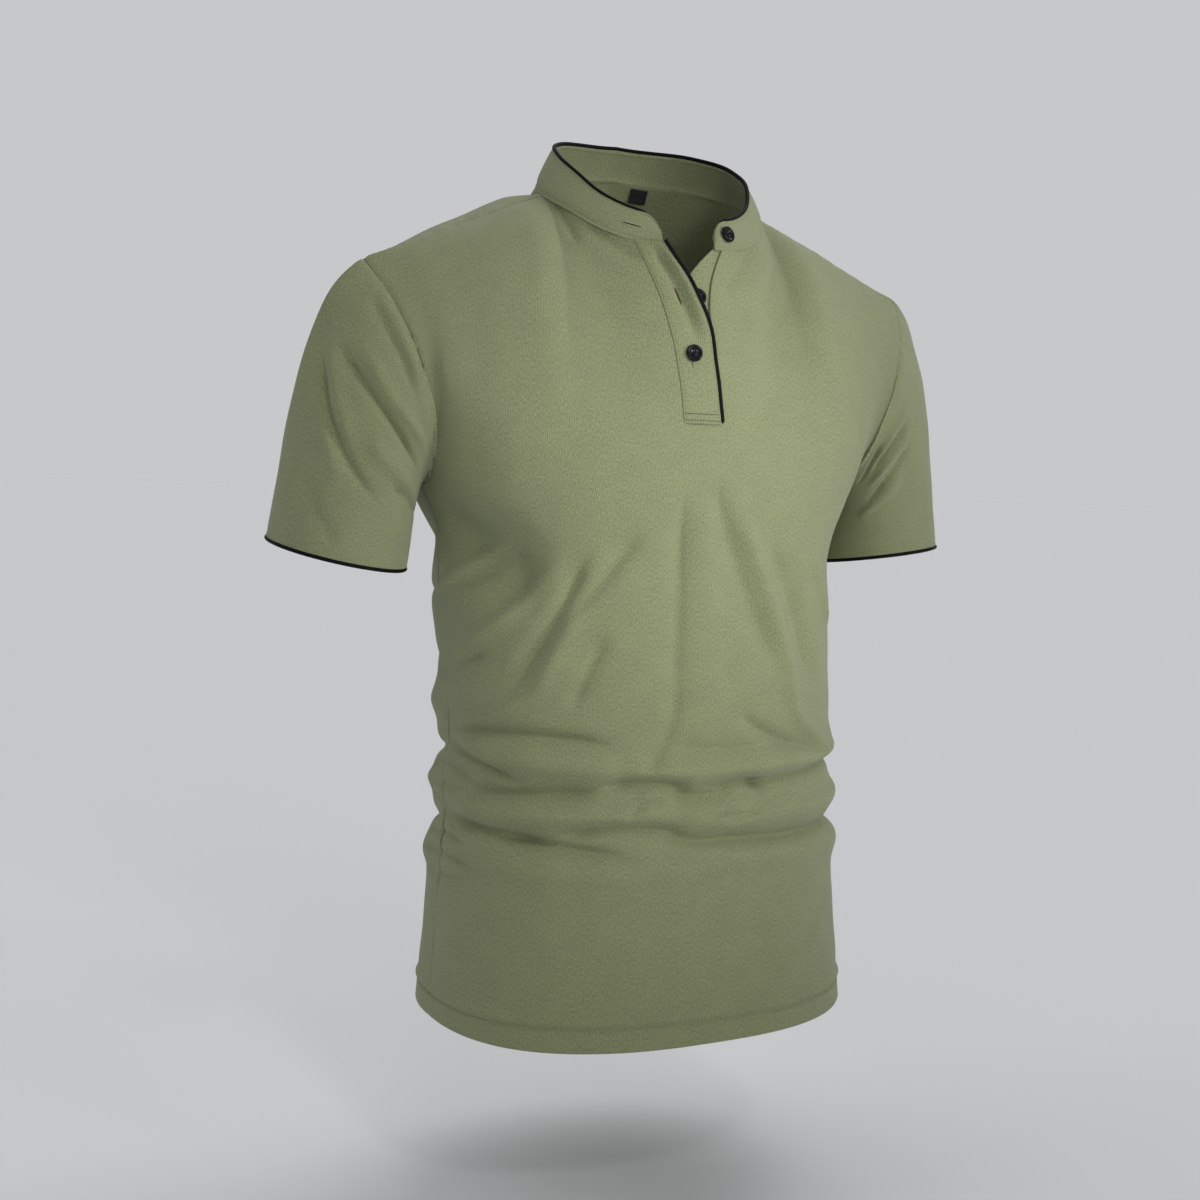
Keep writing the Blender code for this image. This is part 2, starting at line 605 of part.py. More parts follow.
# ---------------------------------------------------------------- sleeves
def sleeve_ring(row, spare=0.0):
    """Ends of a sleeve's curves: armhole seam, hem, and the direction along the sleeve at the hem."""
    share = panel_rows()[0]
    share = np.concatenate([[0], share[share > 1e-6][:-1], [1]])
    start = np.concatenate([armhole(FRONT, share, row.side), armhole(BACK, share, row.side)[::-1][1:-1]])
    turn = share * math.pi
    turn = np.concatenate([turn, 2 * math.pi - turn[-2:0:-1]])  # 0 at the underarm, pi at the shoulder
    outwards, forwards = -np.cos(turn), np.sin(turn)
    tip_out, tip_front = math.radians(row.tip_out), math.radians(row.tip_front)
    across = np.array([row.side * math.cos(tip_out), 0, math.sin(tip_out)])
    ahead = np.array([0, -math.cos(tip_front), -math.sin(tip_front)])
    axis = np.cross(across, ahead) * row.side
    centre = np.array([row.side * row.out, row.back, row.height]) + axis * spare
    end = centre + np.outer(outwards * row.half_width, across)
    end = end + np.outer(forwards * row.half_depth, ahead)
    return start, end, axis, ((1 + outwards) / 2)[:, None]


def sleeve_grid(row):
    """Cubic curves from the armhole seam to the sleeve hem."""
    start, end, axis, over = sleeve_ring(row)
    cap = np.array([row.side * row.cap_out, 0, CAP_FALL])
    leave = over * cap + (1 - over) * [row.side, 1, 1] * np.array(UNDERARM_LEAVE)
    arrive = (over * CAP_ARRIVE + (1 - over) * UNDERARM_ARRIVE) * axis
    start = start + leave / np.linalg.norm(leave, axis=1, keepdims=True) * SLEEVE_GAP
    t = np.linspace(0, 1, SLEEVE_ROWS + 1)
    return hermite(start, leave, end, arrive, np.broadcast_to(t[:, None], (len(t), len(start))))


def sleeve(row, cloth, trim):
    name = "left" if row.side == LEFT else "right"
    cloth_wall(f"sleeve_{name}", sleeve_grid(row), cloth, CLOTH, closed=True, flip=row.side == LEFT)
    _, end, axis, _ = sleeve_ring(row, PIPING_RADIUS + GAP)
    inwards = end.mean(axis=0) - end
    inwards /= np.linalg.norm(inwards, axis=1, keepdims=True)
    tube(f"sleeve_piping_{name}", end + inwards * CLOTH / 2, trim, closed=True)


# ---------------------------------------------------------------- buttons
def button(name, place, normal, paint):
    """A round button whose back lies on place."""
    mesh = bpy.data.meshes.new(name)
    shape = bmesh.new()
    bmesh.ops.create_cone(
        shape,
        cap_ends=True,
        segments=BUTTON_SIDES,
        radius1=BUTTON_RADIUS,
        radius2=BUTTON_RADIUS,
        depth=BUTTON_THICKNESS,
    )
    rims = [edge for edge in shape.edges if abs(edge.verts[0].co.z - edge.verts[1].co.z) < 1e-6]
    bmesh.ops.bevel(shape, geom=rims, offset=BUTTON_BEVEL, segments=1, affect="EDGES")
    shape.to_mesh(mesh)
    shape.free()
    mesh.materials.append(paint)
    made = bpy.data.objects.new(name, mesh)
    normal = Vector(normal)
    made.rotation_euler = normal.to_track_quat("Z", "Y").to_euler()
    made.location = Vector(place) + normal * BUTTON_THICKNESS / 2
    bpy.context.scene.collection.objects.link(made)
    return made


def placket_button(name, x, height, out, paint):
    v = v_at(height)
    u = u_at(FRONT, [x], [v])[0]
    button(name, body_point(FRONT, u, v, out), outward(FRONT, u, v), paint)


def collar_button(paint):
    grid, up = collar_grid()
    _, from_end = collar_base()
    left_half = len(from_end) // 2
    j = left_half + int(np.argmin(np.abs(from_end[left_half:] - COLLAR_BUTTON_INSET)))
    middle = grid[1:3, j].mean(axis=0)
    normal = np.cross(up[j], grid[0, j + 1] - grid[0, j - 1])
    normal /= np.linalg.norm(normal)
    button("button_collar", middle + normal * (DOUBLE_CLOTH + GAP), normal, paint)


def main():
    for old in list(bpy.data.objects):
        bpy.data.objects.remove(old)
    knit = material("olive_knit", (0.24, 0.27, 0.13), 0.85)
    band = material("olive_band", (0.25, 0.28, 0.14), 0.8)
    trim = material("black_piping", (0.01, 0.01, 0.011), 0.5)
    resin = material("black_buttons", (0.012, 0.012, 0.014), 0.25)
    woven = material("black_label", (0.015, 0.015, 0.016), 0.8)
    front(knit)
    back(knit)
    for row in SLEEVES:
        sleeve(row, knit, trim)
    collar_band(band)
    collar_piping(trim)
    placket_upper(band)
    placket_under(band)
    placket_piping(trim)
    placket_button("button_lower", *LOWER_BUTTON, 3 * GAP, resin)
    placket_button("button_middle", *MIDDLE_BUTTON, -CLOTH, resin)
    collar_button(resin)
    neck_label(woven)


main()
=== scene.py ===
"""Looks of a short-sleeved polo shirt with a stand collar, filled out as if it were worn. Metres.

The surfaces follow the frame's own sizes and are drawn finer, with seams, stitches, hems and creases.
A panel is drawn in two coordinates: u runs from -1 at the right side seam to 1 at the left one, and
v from -1 at the hem to 0 at the underarm and 1 at the neck and shoulders.
"""

import math
from collections import namedtuple

import bmesh
import bpy
import numpy as np
from mathutils import Matrix, Vector


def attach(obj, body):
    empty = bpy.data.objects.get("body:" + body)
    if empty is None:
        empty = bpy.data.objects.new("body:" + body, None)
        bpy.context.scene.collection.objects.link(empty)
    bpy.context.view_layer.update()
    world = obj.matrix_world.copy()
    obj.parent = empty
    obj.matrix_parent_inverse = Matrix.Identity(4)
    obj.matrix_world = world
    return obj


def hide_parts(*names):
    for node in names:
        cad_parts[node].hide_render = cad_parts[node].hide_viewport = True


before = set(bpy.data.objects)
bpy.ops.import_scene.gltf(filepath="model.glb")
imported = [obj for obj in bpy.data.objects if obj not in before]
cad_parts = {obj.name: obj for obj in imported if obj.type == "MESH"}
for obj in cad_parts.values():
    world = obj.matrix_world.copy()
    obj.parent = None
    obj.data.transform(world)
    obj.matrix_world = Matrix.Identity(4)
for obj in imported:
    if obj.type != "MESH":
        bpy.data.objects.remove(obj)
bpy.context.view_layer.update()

FRONT, BACK = -1, 1
RIGHT, LEFT = -1, 1

# ---------------------------------------------------------------- sizes of the frame
UNDERARM = -0.208  # height where side seam and sleeve meet
SQUARENESS = 2.3  # exponent of the torso sections: 2 is an ellipse, more is boxier

# The torso from the hem up to the underarm
Section = namedtuple("Section", "height half_width front back centre")
TORSO = (
    Section(-0.590, 0.1585, 0.136, 0.129, 0.002),
    Section(-0.510, 0.1530, 0.130, 0.118, 0.005),
    Section(-0.430, 0.1485, 0.126, 0.108, 0.008),
    Section(-0.350, 0.1465, 0.123, 0.104, 0.009),
    Section(-0.290, 0.1505, 0.121, 0.105, 0.018),
    Section(-0.245, 0.1580, 0.119, 0.104, 0.023),
    Section(-0.208, 0.1690, 0.115, 0.100, 0.019),
    Section(-0.170, 0.1820, 0.110, 0.097, 0.020),
)

# The hem's height across the front and the back, from the wearer's right to the left
HemPoint = namedtuple("HemPoint", "across front back")
HEM = (
    HemPoint(-1.0, -0.5860, -0.586),
    HemPoint(-0.6, -0.5870, -0.587),
    HemPoint(-0.3, -0.5850, -0.587),
    HemPoint(0.0, -0.5825, -0.586),
    HemPoint(0.5, -0.5810, -0.584),
    HemPoint(1.0, -0.5800, -0.580),
)

# The neck seam, by the angle about the neck from the centre front
NECK_HALF_WIDTH = 0.0865
NECK_FRONT_DEPTH = 0.0715
NECK_BACK_DEPTH = 0.071
NECK_CENTRE = 0.002
NECK_FRONT_POWER = 1.75  # exponents of the two halves: 2 is round, less comes to a point
NECK_BACK_POWER = 2.0
NeckPoint = namedtuple("NeckPoint", "angle height")
NECK = (
    NeckPoint(0, -0.0368),
    NeckPoint(25, -0.0355),
    NeckPoint(50, -0.0250),
    NeckPoint(70, -0.0110),
    NeckPoint(90, 0.0000),
    NeckPoint(110, 0.0105),
    NeckPoint(135, 0.0200),
    NeckPoint(180, 0.0275),
)

SHOULDER_TIP = (0.2163, 0.004, -0.054)  # where a shoulder seam meets the sleeve
NECK_SHARE = 0.37  # share of half a panel's top edge that the neck seam takes
# Directions in which the cloth arrives at the neck seam and at the shoulder seam, per metre risen.
# The worn garment sits fuller over its right shoulder than over its left one.
Arrival = namedtuple("Arrival", "neck right_shoulder left_shoulder")
ARRIVAL = {
    FRONT: Arrival((0, 0.25, 1.0), (0, 1.1, 0.30), (0, 1.1, 0.30)),
    BACK: Arrival((0, -0.5, 0.8), (0, -1.1, -0.72), (0, -1.1, -0.35)),
}
SLOPE_STEP = 0.01  # height over which the slope at the underarm is measured
NORMAL_STEP = 0.001  # of u, v or turn, to either side of a place whose normal is wanted
SEARCH_STEPS = 401  # places looked at to find a u or a v

# The armhole seam, in even steps from the underarm up to the shoulder; right_rise is how much
# higher the back half of the right one lies, where the shoulder is fuller
ArmholePoint = namedtuple("ArmholePoint", "height out front back right_rise")
ARMHOLE = (
    ArmholePoint(-0.208, 0.1690, 0.019, 0.019, 0.0),
    ArmholePoint(-0.195, 0.1700, -0.012, 0.046, 0.0),
    ArmholePoint(-0.166, 0.1760, -0.036, 0.069, 0.0),
    ArmholePoint(-0.134, 0.1863, -0.042, 0.077, 0.002),
    ArmholePoint(-0.105, 0.1960, -0.036, 0.070, 0.008),
    ArmholePoint(-0.077, 0.2065, -0.018, 0.046, 0.014),
    ArmholePoint(-0.054, 0.2163, 0.004, 0.004, 0.0),
)

# The placket by height: where the seam and the free edge of each strip lie, as x
PLACKET_FOOT = -0.1604
PLACKET_BAR, BAR_TO_FOOT = -0.1538, 0.0052  # its lower stitched bar, and the second line below that
PlacketRow = namedtuple("PlacketRow", "height upper_seam upper_edge under_seam under_edge")
PLACKET = (
    PlacketRow(-0.1604, -0.0165, 0.0127, 0.0127, -0.0155),
    PlacketRow(-0.1300, -0.0187, 0.0100, 0.0105, -0.0180),
    PlacketRow(-0.1000, -0.0227, 0.0060, 0.0088, -0.0190),
    PlacketRow(-0.0750, -0.0283, -0.0035, 0.0082, -0.0150),
    PlacketRow(-0.0580, -0.0338, -0.0112, 0.0120, -0.0070),
    PlacketRow(-0.0470, -0.0382, -0.0180, 0.0172, 0.0035),
    PlacketRow(-0.0368, -0.0421, -0.0235, 0.0232, 0.0158),
)
STRIP_LIFT = 0.005  # how far the free edge of the open upper strip stands off the chest
STRIP_LIFT_FROM, STRIP_LIFT_TO = -0.118, -0.080  # heights over which it rises

# Sleeves: the hem is an ellipse that tips outwards and forwards
Sleeve = namedtuple("Sleeve", "side out back height half_width half_depth tip_out tip_front cap_out")
SLEEVES = (
    Sleeve(RIGHT, 0.2230, 0.034, -0.2565, 0.0492, 0.056, 9.6, 7, 0.142),
    Sleeve(LEFT, 0.2240, 0.034, -0.2525, 0.0490, 0.056, 8, -3, 0.108),
)
# How far and in which direction the sleeve's curves leave the armhole (the cap outwards by cap_out)
# and arrive at the hem
CAP_FALL, UNDERARM_LEAVE = -0.085, (0.03, 0, -0.03)
CAP_ARRIVE, UNDERARM_ARRIVE = 0.22, 0.06

# The collar band by the angle about the neck from the centre front
CollarRow = namedtuple("CollarRow", "angle rise lean")
COLLAR = (
    CollarRow(0, 0.0190, 0.0055),
    CollarRow(50, 0.0215, 0.0085),
    CollarRow(90, 0.0255, 0.0130),
    CollarRow(135, 0.0245, 0.0100),
    CollarRow(180, 0.0225, 0.0065),
)
COLLAR_CORNER = 0.0145  # length over which each front end is rounded off
COLLAR_END_HEIGHT = 0.0012
STITCHED_HEIGHT = 0.005  # the stitches stop where the band's rounded ends are lower than this
COLLAR_HEIGHT = 0.027  # of the band's flat cloth
COLLAR_STITCHING = 0.0018  # distance of its stitch lines from the band's lower and upper edge
COLLAR_GROOVE, COLLAR_GROOVE_REACH = 0.0005, 0.0007  # the groove along each
COLLAR_STEP = 0.0020  # between the band's columns
COLLAR_CORNER_COLUMNS = 17  # at each rounded end
COLLAR_ROWS = ((0, 0.18, 9), (0.18, 0.86, 12), (0.86, 1, 8))  # shares of its height, and rows between
COLLAR_TUCK = 0.0012  # how far the band reaches down behind the neck seam
COLLAR_FACE = 0.0005  # its face above the body's cloth at the seam
COLLAR_THINNING = 0.0006  # by which it is thinner at its top edge

CLOTH = 0.0014  # knitted cloth
DOUBLE_CLOTH = 0.0018  # collar and placket
PIPING_RADIUS = 0.0014
BUTTON_LIFT = 0.0012  # back of the lower button above the chest
MIDDLE_BUTTON = (-0.0010, -0.0725)  # x and height
LOWER_BUTTON = (-0.0078, -0.1125)
COLLAR_BUTTON_INSET = 0.0135  # along the band, from its left front end
COLLAR_BUTTON_SHARE, COLLAR_BUTTON_LIFT = 0.52, 0.0002  # share of the band's height; gap to its face
COLLAR_HOLE_INSET, COLLAR_HOLE_SHARE = 0.0235, 0.46  # the buttonhole's middle, from the right end
PLACKET_HOLE = (-0.078, -0.073, -0.068)  # heights of the placket buttonhole's ends and middle
THREAD_TAIL = (-0.1225, -0.1195, -0.1165)  # heights along the lower button's loose thread
LABEL_CENTRE = 0.023  # x of the neck label, left of the middle
LABEL_WIDTH = 0.0130
LABEL_DROP = 0.0100
LABEL_TOP = 0.0072  # v of its top edge below the neck seam
LABEL_TAPE = 0.0006  # its thickness, and its gap to the cloth

HALF_GIRTH = 0.215  # of a panel at the waist, from its middle to a side seam
BODY_LENGTH = 0.378  # from the hem to the underarm
CHEST_LENGTH = 0.200  # of the cloth from the underarm to the shoulder
SLEEVE_GIRTH = 0.33
SLEEVE_LENGTH = 0.17

# ---------------------------------------------------------------- folds
# A valley (depth below zero) or a ridge along a curve through three places
Fold = namedtuple("Fold", "side u1 height1 u2 height2 u3 height3 reach depth")
FOLDS = (
    # creases and rolls where the long body settles at the waist, front
    Fold(FRONT, -0.88, -0.4185, -0.58, -0.4150, -0.32, -0.4095, 0.0064, -0.0080),
    Fold(FRONT, -0.38, -0.4100, -0.20, -0.4040, -0.06, -0.4125, 0.0050, -0.0090),
    Fold(FRONT, -0.14, -0.4095, -0.05, -0.4145, 0.06, -0.4100, 0.0056, -0.0070),
    Fold(FRONT, 0.00, -0.4120, 0.11, -0.4050, 0.23, -0.4120, 0.0050, -0.0083),
    Fold(FRONT, 0.15, -0.4115, 0.38, -0.4040, 1.30, -0.3980, 0.0060, -0.0085),
    Fold(FRONT, -1.20, -0.3780, -0.82, -0.3955, -0.60, -0.4090, 0.0048, -0.0065),
    Fold(FRONT, -1.25, -0.3840, -0.64, -0.3750, -0.30, -0.3825, 0.0060, -0.0068),
    Fold(FRONT, -0.16, -0.3800, 0.05, -0.3830, 0.34, -0.3810, 0.0080, -0.0037),
    Fold(FRONT, -1.30, -0.4360, -0.80, -0.4425, -0.48, -0.4475, 0.0058, -0.0083),
    Fold(FRONT, -0.52, -0.4440, -0.28, -0.4350, -0.06, -0.4415, 0.0054, -0.0085),
    Fold(FRONT, -0.17, -0.4375, -0.04, -0.4450, 0.11, -0.4430, 0.0058, -0.0075),
    Fold(FRONT, 0.02, -0.4430, 0.40, -0.4460, 1.35, -0.4450, 0.0060, -0.0083),
    Fold(FRONT, -0.74, -0.4485, -0.50, -0.4485, -0.22, -0.4580, 0.0052, -0.0065),
    Fold(FRONT, -1.00, -0.3860, -0.62, -0.3925, -0.16, -0.3960, 0.0095, 0.0068),
    Fold(FRONT, -0.30, -0.3955, 0.15, -0.3960, 1.30, -0.3830, 0.0095, 0.0070),
    Fold(FRONT, -1.15, -0.4280, -0.55, -0.4290, -0.08, -0.4260, 0.0085, 0.0060),
    Fold(FRONT, -0.15, -0.4275, 0.35, -0.4285, 1.35, -0.4225, 0.0085, 0.0060),
    Fold(FRONT, -0.85, -0.4620, -0.35, -0.4670, 0.10, -0.4570, 0.0105, 0.0045),
    Fold(FRONT, 0.00, -0.4560, 0.35, -0.4600, 1.30, -0.4600, 0.0105, 0.0045),
    # short creases between them
    Fold(FRONT, -0.275, -0.4290, -0.250, -0.4240, -0.215, -0.4210, 0.0034, -0.0035),
    Fold(FRONT, -0.010, -0.4240, 0.090, -0.4290, 0.200, -0.4245, 0.0042, -0.0047),
    Fold(FRONT, -0.25, -0.4150, -0.19, -0.4125, -0.12, -0.4175, 0.0045, 0.0030),
    Fold(FRONT, 0.05, -0.4135, 0.11, -0.4115, 0.18, -0.4155, 0.0045, 0.0030),
    Fold(FRONT, -1.30, -0.4020, -1.02, -0.4045, -0.80, -0.4120, 0.0038, -0.0042),
    Fold(FRONT, -1.30, -0.4160, -1.00, -0.4195, -0.84, -0.4225, 0.0036, -0.0035),
    Fold(FRONT, -1.30, -0.4290, -1.05, -0.4330, -0.78, -0.4275, 0.0038, -0.0037),
    Fold(FRONT, -1.30, -0.4530, -1.02, -0.4545, -0.82, -0.4580, 0.0040, -0.0047),
    Fold(FRONT, -1.30, -0.4680, -1.02, -0.4690, -0.76, -0.4725, 0.0042, -0.0047),
    Fold(FRONT, -1.35, -0.4850, -1.05, -0.4840, -0.78, -0.4815, 0.0044, -0.0040),
    Fold(FRONT, 1.25, -0.423, 0.85, -0.429, 0.56, -0.437, 0.0048, -0.0042),
    Fold(FRONT, 1.30, -0.362, 0.90, -0.380, 0.56, -0.392, 0.0058, -0.0050),
    # the hollow under the chest on the near side, and drapes that run out from the chest
    Fold(FRONT, -1.25, -0.236, -0.82, -0.246, -0.46, -0.286, 0.0260, -0.0185),
    Fold(FRONT, -0.98, -0.118, -0.72, -0.148, -0.38, -0.188, 0.0300, 0.0065),
    Fold(FRONT, -1.10, -0.287, -0.80, -0.2625, -0.54, -0.242, 0.0052, 0.0034),
    Fold(FRONT, -1.20, -0.300, -0.90, -0.2780, -0.64, -0.261, 0.0056, -0.0055),
    Fold(FRONT, -1.10, -0.338, -0.72, -0.3050, -0.40, -0.243, 0.0060, 0.0042),
    Fold(FRONT, -1.25, -0.352, -0.98, -0.3360, -0.70, -0.319, 0.0054, -0.0060),
    Fold(FRONT, -1.20, -0.350, -1.02, -0.3660, -0.90, -0.373, 0.0040, -0.0039),
    Fold(FRONT, -1.05, -0.379, -0.80, -0.3700, -0.56, -0.345, 0.0050, 0.0034),
    Fold(FRONT, -0.35, -0.245, -0.50, -0.3000, -0.70, -0.354, 0.0068, -0.0073),
    Fold(FRONT, -0.18, -0.235, -0.31, -0.2640, -0.45, -0.300, 0.0064, -0.0065),
    Fold(FRONT, -0.29, -0.246, -0.45, -0.3050, -0.61, -0.362, 0.0062, 0.0036),
    Fold(FRONT, -0.32, -0.303, -0.40, -0.3300, -0.46, -0.358, 0.0080, -0.0047),
    Fold(FRONT, -0.05, -0.195, -0.09, -0.2800, -0.125, -0.360, 0.0090, -0.0055),
    Fold(FRONT, -0.115, -0.333, -0.145, -0.3720, -0.25, -0.403, 0.0072, -0.0052),
    Fold(FRONT, 0.00, -0.190, 0.00, -0.2900, -0.005, -0.382, 0.0085, 0.0034),
    Fold(FRONT, 0.02, -0.190, 0.12, -0.2580, 0.29, -0.342, 0.0085, -0.0062),
    Fold(FRONT, 0.10, -0.212, 0.25, -0.2880, 0.35, -0.360, 0.0060, 0.0047),
    Fold(FRONT, 0.32, -0.333, 0.37, -0.3660, 0.58, -0.387, 0.0050, 0.0044),
    Fold(FRONT, 0.21, -0.237, 0.37, -0.2880, 0.45, -0.348, 0.0100, -0.0068),
    Fold(FRONT, 0.41, -0.243, 0.53, -0.2750, 0.63, -0.312, 0.0050, 0.0031),
    Fold(FRONT, 0.09, -0.353, 0.27, -0.3780, 0.62, -0.395, 0.0062, -0.0057),
    Fold(FRONT, 0.95, -0.170, 0.76, -0.222, 0.62, -0.290, 0.0150, -0.0065),
    # below the collar
    Fold(FRONT, -0.33, -0.001, -0.30, -0.020, -0.27, -0.040, 0.0060, -0.0034),
    Fold(FRONT, -0.25, -0.023, -0.19, -0.037, -0.13, -0.052, 0.0052, -0.0034),
    Fold(FRONT, 0.22, -0.026, 0.14, -0.050, 0.06, -0.076, 0.0058, -0.0044),
    Fold(FRONT, 0.28, -0.022, 0.20, -0.060, 0.13, -0.100, 0.0080, 0.0028),
    # the back
    Fold(BACK, -1.25, -0.384, -0.60, -0.403, 0.10, -0.414, 0.0068, -0.0084),
    Fold(BACK, -0.10, -0.414, 0.45, -0.426, 1.30, -0.398, 0.0070, -0.0072),
    Fold(BACK, -1.30, -0.312, -0.55, -0.382, 0.10, -0.397, 0.0105, 0.0055),
    Fold(BACK, 0.00, -0.397, 0.50, -0.406, 1.30, -0.380, 0.0105, 0.0053),
    Fold(BACK, -1.35, -0.440, -0.35, -0.452, 0.40, -0.447, 0.0068, -0.0072),
    Fold(BACK, 0.20, -0.453, 0.60, -0.446, 1.35, -0.447, 0.0066, -0.0065),
    Fold(BACK, -1.35, -0.398, -0.35, -0.434, 0.50, -0.434, 0.0085, 0.0050),
    Fold(BACK, 0.35, -0.432, 0.70, -0.432, 1.35, -0.424, 0.0085, 0.0048),
    Fold(BACK, -1.35, -0.472, -0.20, -0.474, 1.35, -0.468, 0.0115, 0.0041),
    Fold(BACK, -0.50, -0.424, -0.30, -0.433, -0.10, -0.430, 0.0045, -0.0038),
    Fold(BACK, -1.30, -0.4020, -1.02, -0.4045, -0.76, -0.4160, 0.0040, -0.0041),
    Fold(BACK, -1.30, -0.4160, -1.00, -0.4195, -0.82, -0.4260, 0.0038, -0.0034),
    Fold(BACK, -1.30, -0.4290, -1.05, -0.4330, -0.80, -0.4300, 0.0038, -0.0036),
    Fold(BACK, -1.30, -0.4530, -1.02, -0.4545, -0.74, -0.4610, 0.0042, -0.0046),
    Fold(BACK, -1.30, -0.4680, -1.02, -0.4690, -0.80, -0.4740, 0.0042, -0.0043),
    Fold(BACK, -1.35, -0.4850, -1.05, -0.4840, -0.74, -0.4880, 0.0046, -0.0038),
    Fold(BACK, 1.28, -0.420, 0.90, -0.430, 0.62, -0.441, 0.0050, -0.0041),
    Fold(BACK, 1.30, -0.362, 0.85, -0.384, 0.50, -0.395, 0.0058, -0.0048),
    Fold(BACK, -1.25, -0.236, -0.80, -0.252, -0.45, -0.300, 0.0230, -0.0108),
    Fold(BACK, -1.20, -0.300, -0.88, -0.285, -0.60, -0.262, 0.0056, -0.0048),
    Fold(BACK, -1.25, -0.352, -0.94, -0.338, -0.62, -0.312, 0.0056, -0.0053),
    Fold(BACK, 0.95, -0.170, 0.72, -0.235, 0.50, -0.310, 0.0170, -0.0067),
    Fold(BACK, -0.12, -0.240, -0.16, -0.320, -0.28, -0.385, 0.0095, -0.0055),
    Fold(BACK, 0.04, -0.230, 0.06, -0.310, 0.02, -0.385, 0.0090, 0.0031),
    Fold(BACK, 0.14, -0.250, 0.20, -0.330, 0.40, -0.388, 0.0085, -0.0058),
    Fold(BACK, 0.26, -0.260, 0.36, -0.330, 0.56, -0.380, 0.0070, 0.0038),
)
# On the sleeves: turn runs once round from the underarm over the front, down from the armhole to the hem
SleeveFold = namedtuple("SleeveFold", "side turn1 down1 turn2 down2 turn3 down3 reach depth")
SLEEVE_FOLDS = (
    SleeveFold(RIGHT, 0.440, 0.300, 0.290, 0.345, 0.120, 0.320, 0.0048, -0.0064),
    SleeveFold(RIGHT, 0.400, 0.215, 0.250, 0.250, 0.130, 0.130, 0.0062, 0.0030),
    SleeveFold(RIGHT, 0.455, 0.340, 0.365, 0.575, 0.220, 0.700, 0.0048, -0.0052),
    SleeveFold(RIGHT, 0.440, 0.330, 0.385, 0.450, 0.310, 0.580, 0.0065, 0.0026),
    SleeveFold(RIGHT, 0.410, 0.540, 0.370, 0.630, 0.320, 0.720, 0.0060, 0.0024),
    SleeveFold(RIGHT, 0.430, 0.085, 0.330, 0.100, 0.210, 0.125, 0.0055, -0.0032),
    SleeveFold(RIGHT, 0.430, 0.035, 0.330, 0.045, 0.220, 0.050, 0.0040, 0.0017),
    SleeveFold(RIGHT, 0.300, 0.470, 0.220, 0.500, 0.110, 0.430, 0.0090, 0.0036),
    SleeveFold(RIGHT, 0.210, 0.600, 0.150, 0.540, 0.050, 0.460, 0.0056, -0.0036),
    SleeveFold(RIGHT, 0.450, 0.680, 0.370, 0.850, 0.300, 0.940, 0.0090, -0.0024),
    SleeveFold(RIGHT, 0.600, 0.26, 0.730, 0.330, 0.900, 0.22, 0.0050, -0.0056),
    SleeveFold(RIGHT, 0.590, 0.45, 0.700, 0.560, 0.850, 0.48, 0.0070, -0.0036),
    SleeveFold(LEFT, 0.280, 0.290, 0.205, 0.235, 0.130, 0.220, 0.0038, -0.0048),
    SleeveFold(LEFT, 0.290, 0.200, 0.215, 0.165, 0.140, 0.150, 0.0050, 0.0028),
    SleeveFold(LEFT, 0.270, 0.360, 0.200, 0.315, 0.120, 0.350, 0.0062, 0.0036),
    SleeveFold(LEFT, 0.260, 0.400, 0.195, 0.440, 0.120, 0.490, 0.0050, -0.0044),
    SleeveFold(LEFT, 0.230, 0.520, 0.165, 0.560, 0.100, 0.600, 0.0080, 0.0030),
    SleeveFold(LEFT, 0.180, 0.100, 0.140, 0.130, 0.100, 0.200, 0.0040, -0.0032),
    SleeveFold(LEFT, 0.600, 0.28, 0.720, 0.350, 0.890, 0.24, 0.0050, -0.0052),
    SleeveFold(LEFT, 0.580, 0.50, 0.690, 0.580, 0.830, 0.52, 0.0070, -0.0034),
)
FOLD_STEPS = 16  # straight steps along a fold's curve
FOLD_FADE = 0.25  # share of a fold's length over which each end fades out
SEAM_FOLDS = 0.48  # depth of the folds at the side seams, against that on the panels
CREASE, CREASE_REACH = 0.42, 0.38  # share of a valley's depth that is a tight crease, and its reach
HOLLOW = 0.0125  # valleys that reach further than this are soft hollows, without a crease

# ---------------------------------------------------------------- seams, hem and mesh
SEAM_DIP, SEAM_REACH = 0.0010, 0.0022  # the groove along a seam
PUCKER, PUCKER_PLACE, PUCKER_REACH = 0.00035, 0.003, 0.0060  # slight gathers beside it
HEM_TURN = 0.0155  # height of the turned-up hem's stitching above the edge
UNEVENNESS = 0.0005  # of cloth that isn't under tension
FINE_ROWS, FINE_TOP = 0.0008, 0.024  # between the rows of the hem, and how high those reach
WAIST, WAIST_STEP = (0.104, 0.222), 0.0017  # heights above the hem between which the rolls lie
PANEL_STEP = 0.0028  # between the other rows
UPPER_STEP = 0.00266  # between the rows above the placket's foot
COLUMN_STEP = 0.0031  # between a panel's columns
SLEEVE_COLUMNS = 132
SLEEVE_STITCHING = 0.0032  # distance of a sleeve's stitches from its hem
SEAM_OFFSETS = (0.0005, 0.0012, 0.0020)  # extra rows and columns beside a seam


# ---------------------------------------------------------------- curves
def smooth_through(xs, ys, x):
    """Cubic curve through the points (xs, ys), with the slopes of their neighbours."""
    xs, ys, x = np.asarray(xs, float), np.asarray(ys, float), np.asarray(x, float)
    slopes = np.gradient(ys, xs)
    i = np.clip(np.searchsorted(xs, x) - 1, 0, len(xs) - 2)
    width = xs[i + 1] - xs[i]
    t = np.clip((x - xs[i]) / width, 0, 1)
    start = (1 + 2 * t) * (1 - t) ** 2 * ys[i] + t * (1 - t) ** 2 * width * slopes[i]
    end = t * t * (3 - 2 * t) * ys[i + 1] + t * t * (t - 1) * width * slopes[i + 1]
    return start + end


